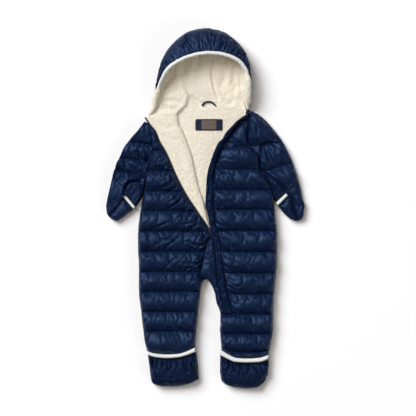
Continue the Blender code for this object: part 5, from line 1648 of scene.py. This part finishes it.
def make_hood_lining(name, at, shares_up):
    """One panel of the fleece lining, tufted on the side that faces into the hood. Its lower part swells
    away from the neck seam, is creased, and stands up beyond the edge of the opened front's fleece."""
    seed = LINING_SEED
    surface, climb = hood_surface(at, *shares_up)
    normal = hood_normals(climb, at, *shares_up)
    shell = depths(at, shares_up, RECESS, SHELL_WALL)
    full = depths(at, shares_up, BACK_TOP, HOOD_WALL)
    outer = surface - normal * (shell + 2 * SEAM)[..., None]
    inner = surface - normal * full[..., None]
    spots = inner.reshape(-1, 3)
    tall = 0.45 * noise(spots, 5.2, seed) + 0.35 * noise(spots, 3.2, seed + 1) + 0.3
    beyond_neck = np.linalg.norm(inner - inner[0], axis=-1).reshape(-1)
    low = spots[:, 2] < 22
    tall += (3.4 * eased((beyond_neck - 16.0) / 30.0) - crease_relief(spots, LINING_CREASES)) * low
    tall += 1.5 * noise(spots, 38.0, seed + 2)
    tall *= rounded(beyond_neck, 8.0)
    outside = eased((across(LAPEL, spots[:, 1]) - spots[:, 0] + 3.0) / 11.0)
    tall += outside * smooth(LAPEL["y"], LAPEL["high"], spots[:, 1]) * np.clip((60 - spots[:, 2]) / 40, 0, 1)
    lean = np.stack([noise(spots, 4.1, seed + 3), noise(spots, 4.1, seed + 4), 0 * tall], axis=1)
    spots = spots - normal.reshape(-1, 3) * tall[:, None] + 0.4 * lean
    points, solid_faces = closed_wall(outer, spots.reshape(inner.shape))
    parts, all_faces = [points], [solid_faces]
    if name != "centre":
        roll, roll_faces = fleece_roll(name, len(points))
        parts.append(roll)
        all_faces.append(roll_faces)
    points = np.concatenate(parts)
    listed = [f for group in all_faces for f in group]
    made = turned_out(piece(f"hood_lining_{name}_fleece", points, listed, FLEECE,
                            f"hood_lining_{name}"))


# From where to where the fleece rolls out over the brim, in steps of the hood's table
ROLL_SPANS = {"side_right": (0.05, 2.7), "side_left": (13.2, 15.95)}
# The shares of the way along the floor, the low and the high wall that end at the brim
AT_BRIM = ((1.0,), (1.0,), (1.0,))
# How far from the hood's ends its binding stops, in steps, and the binding's section: how far beyond the
# brim along the wall, and how far out of the wall
BINDING_ENDS = 1.6
BINDING_SECTION = (
    (1.4, 0.4), (3.4, 0.9), (5.5, 0.9), (7.3, 0.2), (8.0, -1.6), (8.2, -4.1), (8.0, -6.4),
    (7.3, -7.9), (5.5, -8.6), (3.4, -8.7), (1.4, -8.3),
)


def fleece_roll(name, first):
    """The fleece that rolls out over the brim near the shoulder: an ellipse swept along the brim's end,
    tapered to both of its ends and tufted."""
    at = np.linspace(*ROLL_SPANS[name], 56)
    surface, climb = hood_surface(at, *AT_BRIM)
    normal = hood_normals(climb, at, *AT_BRIM)[-1]
    up = unit(climb[-1])
    share = np.linspace(0, 1, len(at))
    taper = np.sqrt(np.clip(np.minimum(share, 1 - share) * 6, 0.04, 1))
    thin = smooth(HOOD["s"], HOOD["thin"], at)
    centre = surface[-1] + up * 3.4 - normal * (2.6 * thin)[:, None]
    angle = np.linspace(0, 2 * np.pi, 24, endpoint=False)
    rings = (
        centre[:, None]
        + normal[:, None] * (np.cos(angle)[None, :, None] * (6.8 * taper * thin)[:, None, None])
        + up[:, None] * (np.sin(angle)[None, :, None] * (6.6 * taper)[:, None, None])
    )
    spots = rings.reshape(-1, 3)
    puff = 0.6 * noise(spots, 5.0, 81) + 0.6 * noise(spots, 3.0, 82)
    out = unit(spots - np.repeat(centre, len(angle), axis=0))
    rings = (spots + out * puff[:, None] * np.repeat(taper, len(angle))[:, None]).reshape(rings.shape)
    return closed_tube(rings, first)


def make_hood_binding():
    """The white binding over the brim's edge, from shoulder to shoulder: its section swept along the
    brim, ruffled by noise 7 mm long, slimmer towards its ends and drawn together at them."""
    last = float(HOOD["s"][-1])
    at = np.linspace(BINDING_ENDS, last - BINDING_ENDS, 300)
    surface, climb = hood_surface(at, *AT_BRIM)
    normal = hood_normals(climb, at, *AT_BRIM)[-1]
    along = unit(climb[-1])
    thin = smooth(HOOD["s"], HOOD["thin"], at)[:, None]
    ruffle = 0.4 * noise(np.column_stack([at * HOOD_STEP, 0 * at]), 7.0, 90)[:, None]
    to_end = np.minimum(at - at[0], at[-1] - at)[:, None]
    slim = 0.62 + 0.3 * eased(to_end / 5.0)
    point = rounded(0.12 + to_end, 0.9)
    rings = [surface[-1] + along * (1.0 + (out + ruffle - 1.0) * point) + normal * up * thin * slim * point
             for out, up in BINDING_SECTION]
    rings = np.stack(rings, axis=1)
    path = travelled(surface[-1])
    flow = cloth_map(path, 2.2 * np.arange(len(BINDING_SECTION)))
    points, faces = closed_tube(rings)
    made = turned_out(piece("hood_binding_elastic", points, faces, ELASTIC, "hood_binding",
                            flow=flow))


# Label and loop ---------------------------------------------------------------------------------------


def make_plate(name, size, floor, look, node, sag):
    """A small woven rectangle, its edges rounded and its corners a little worn: x = w/2 u k and
    y = l/2 v k, where k = 1 - 0.03 (u v)^4 and u and v run from -1 to 1."""
    columns = np.linspace(-1, 1, 25)
    rows = np.linspace(-1, 1, 13)
    u, v = np.meshgrid(columns, rows)
    worn = 1 - 0.03 * (u**2 * v**2) ** 2
    x = LABEL_CENTRE[0] + 0.5 * size[0] * u * worn
    y = LABEL_CENTRE[1] + 0.5 * size[1] * v * worn
    flat = np.stack([x, y, 0 * x], axis=-1).reshape(-1, 3)
    faces, loop = outline(flat, grid_faces(*x.shape))
    edge = distance_to(flat, flat[loop])
    z = floor + size[2] * (0.55 + 0.45 * rounded(edge, 1.2)) + sag * noise(flat[:, :2], 14.0, 44)
    points, all_faces = closed_sheet(np.column_stack([flat[:, :2], z]), faces, loop, ((floor, 0.0),))
    return piece(name, points, all_faces, look, node)


def make_label():
    """The neck label with its bare woven patch."""
    label = make_plate("neck_label_tape", LABEL_SIZE, BODY_FLOOR, LABEL, "neck_label", sag=0.3)
    on_label = BACK_TOP + 2 * SEAM + LABEL_SIZE[2]
    woven = make_plate("label_patch_damask", PATCH_SIZE, on_label, PATCH, "label_patch",
                       sag=0.2)


def make_loop():
    """The hanger loop: a folded tape bent into an arch on the hood's lining."""
    at = np.linspace(0, LOOP["s"][-1], 60)
    line = np.stack([smooth(LOOP["s"], LOOP["x"], at), smooth(LOOP["s"], LOOP["y"], at)], axis=1)
    side = to_left(unit(np.gradient(line, axis=0)))
    width, thick = LOOP_TAPE
    rings = []
    for out, up in LOOP_SECTION:
        height = np.full(len(line), BODY_FLOOR + up * thick)
        rings.append(np.column_stack([line + side * out * width, height]))
    rings = np.stack(rings, axis=1)
    points, faces = closed_tube(rings)
    flow = cloth_map(travelled(line), 1.6 * np.arange(len(LOOP_SECTION)))
    made = piece("hanger_loop_tape", points, faces, TAPE, "hanger_loop", flow=flow)
    turned_out(made)


# Studio -----------------------------------------------------------------------------------------------

# Lamps that point at the suit: name, place in metres, size, power and colour
LAMPS = (
    ("key", (-9.0, 9.0, 12.75), 10.5, 3850.0, "#fbfcff"),
    ("overhead", (-0.8, 0.8, 8.0), 3.0, 100.0, "#fff0dc"),
    ("fill", (7.0, -5.0, 5.0), 6.0, 190.0, "#fbfcff"),
)
SKY_COLOUR = "#eef1f6"
SKY_STRENGTH = 0.09
TABLE_HALF = 6.0

# The camera: millimetres that its square frame covers, the middle of the frame in the pattern, its
# height and that of the level it is framed for in metres, and its sensor's width in millimetres
FRAME_MM = 915.2
VIEW_CENTRE = (5.94, 0.88)
CAMERA_HEIGHT = 6.0
AIM_HEIGHT = 0.015
SENSOR = 36.0


def softbox(name, place, size, power, colour):
    """A square area lamp that points from its place to the middle of the suit."""
    lamp = bpy.data.lights.new(name, "AREA")
    lamp.shape = "SQUARE"
    lamp.size = size
    lamp.energy = power
    lamp.color = linear(colour)[:3]
    made = bpy.data.objects.new(name, lamp)
    made.location = place
    made.rotation_euler = (-made.location).to_track_quat("-Z", "Y").to_euler()
    bpy.context.collection.objects.link(made)


def make_studio():
    """A white table top, a large softbox up and to the left, two weak ones, and the camera above."""
    look, tree, shader = started("painted_table")
    place = add(tree, "ShaderNodeTexCoord").outputs["Object"]
    mottle = add(tree, "ShaderNodeTexNoise", {"Vector": place, "Scale": 2.0})
    colour = blend(tree, mottle.outputs["Fac"], "#fcfcfc", "#ffffff")
    feed(tree, shader, {"Base Color": colour, "Roughness": 0.9, "Specular IOR Level": 0.0})
    mesh = bpy.data.meshes.new("table_top")
    corners = [(x * TABLE_HALF, y * TABLE_HALF, 0) for x, y in ((-1, -1), (1, -1), (1, 1), (-1, 1))]
    mesh.from_pydata(corners, [], [(0, 1, 2, 3)])
    mesh.materials.append(look)
    floor = bpy.data.objects.new("table_top", mesh)
    bpy.context.collection.objects.link(floor)

    for lamp in LAMPS:
        softbox(*lamp)
    world = bpy.data.worlds.new("studio")
    world.use_nodes = True
    sky = world.node_tree.nodes["Background"]
    feed(world.node_tree, sky, {"Color": linear(SKY_COLOUR), "Strength": SKY_STRENGTH})
    bpy.context.scene.world = world

    camera = bpy.data.cameras.new("camera")
    camera.sensor_width = SENSOR
    camera.lens = SENSOR * (CAMERA_HEIGHT - AIM_HEIGHT) / (FRAME_MM * MM)
    camera.clip_end = 50.0
    seen = bpy.data.objects.new("camera", camera)
    seen.location = ((VIEW_CENTRE[0] - CENTRE[0]) * MM, (VIEW_CENTRE[1] - CENTRE[1]) * MM, CAMERA_HEIGHT)
    bpy.context.collection.objects.link(seen)
    bpy.context.scene.camera = seen
    bpy.context.scene.view_settings.view_transform = "Standard"


make_studio()
make_back()
make_back_lining()
make_front_right()
make_front_left()
make_zip_cover()
make_gusset()
make_facing()
make_zip()
make_sleeve("right", ARMHOLE_RIGHT, SLEEVE_RIGHT, HAND_RIGHT, MITTEN_RIGHT, CUFF_RIGHT,
            SLEEVE_RIGHT_STITCHES, SLEEVE_RIGHT_CREASES, 11)
make_sleeve("left", ARMHOLE_LEFT, SLEEVE_LEFT, HAND_LEFT, MITTEN_LEFT, CUFF_LEFT,
            SLEEVE_LEFT_STITCHES, SLEEVE_LEFT_CREASES, 13)
make_foot("right", FOOT_RIGHT, 15)
make_foot("left", FOOT_LEFT, 16)
make_hood()
make_hood_binding()
make_label()
make_loop()
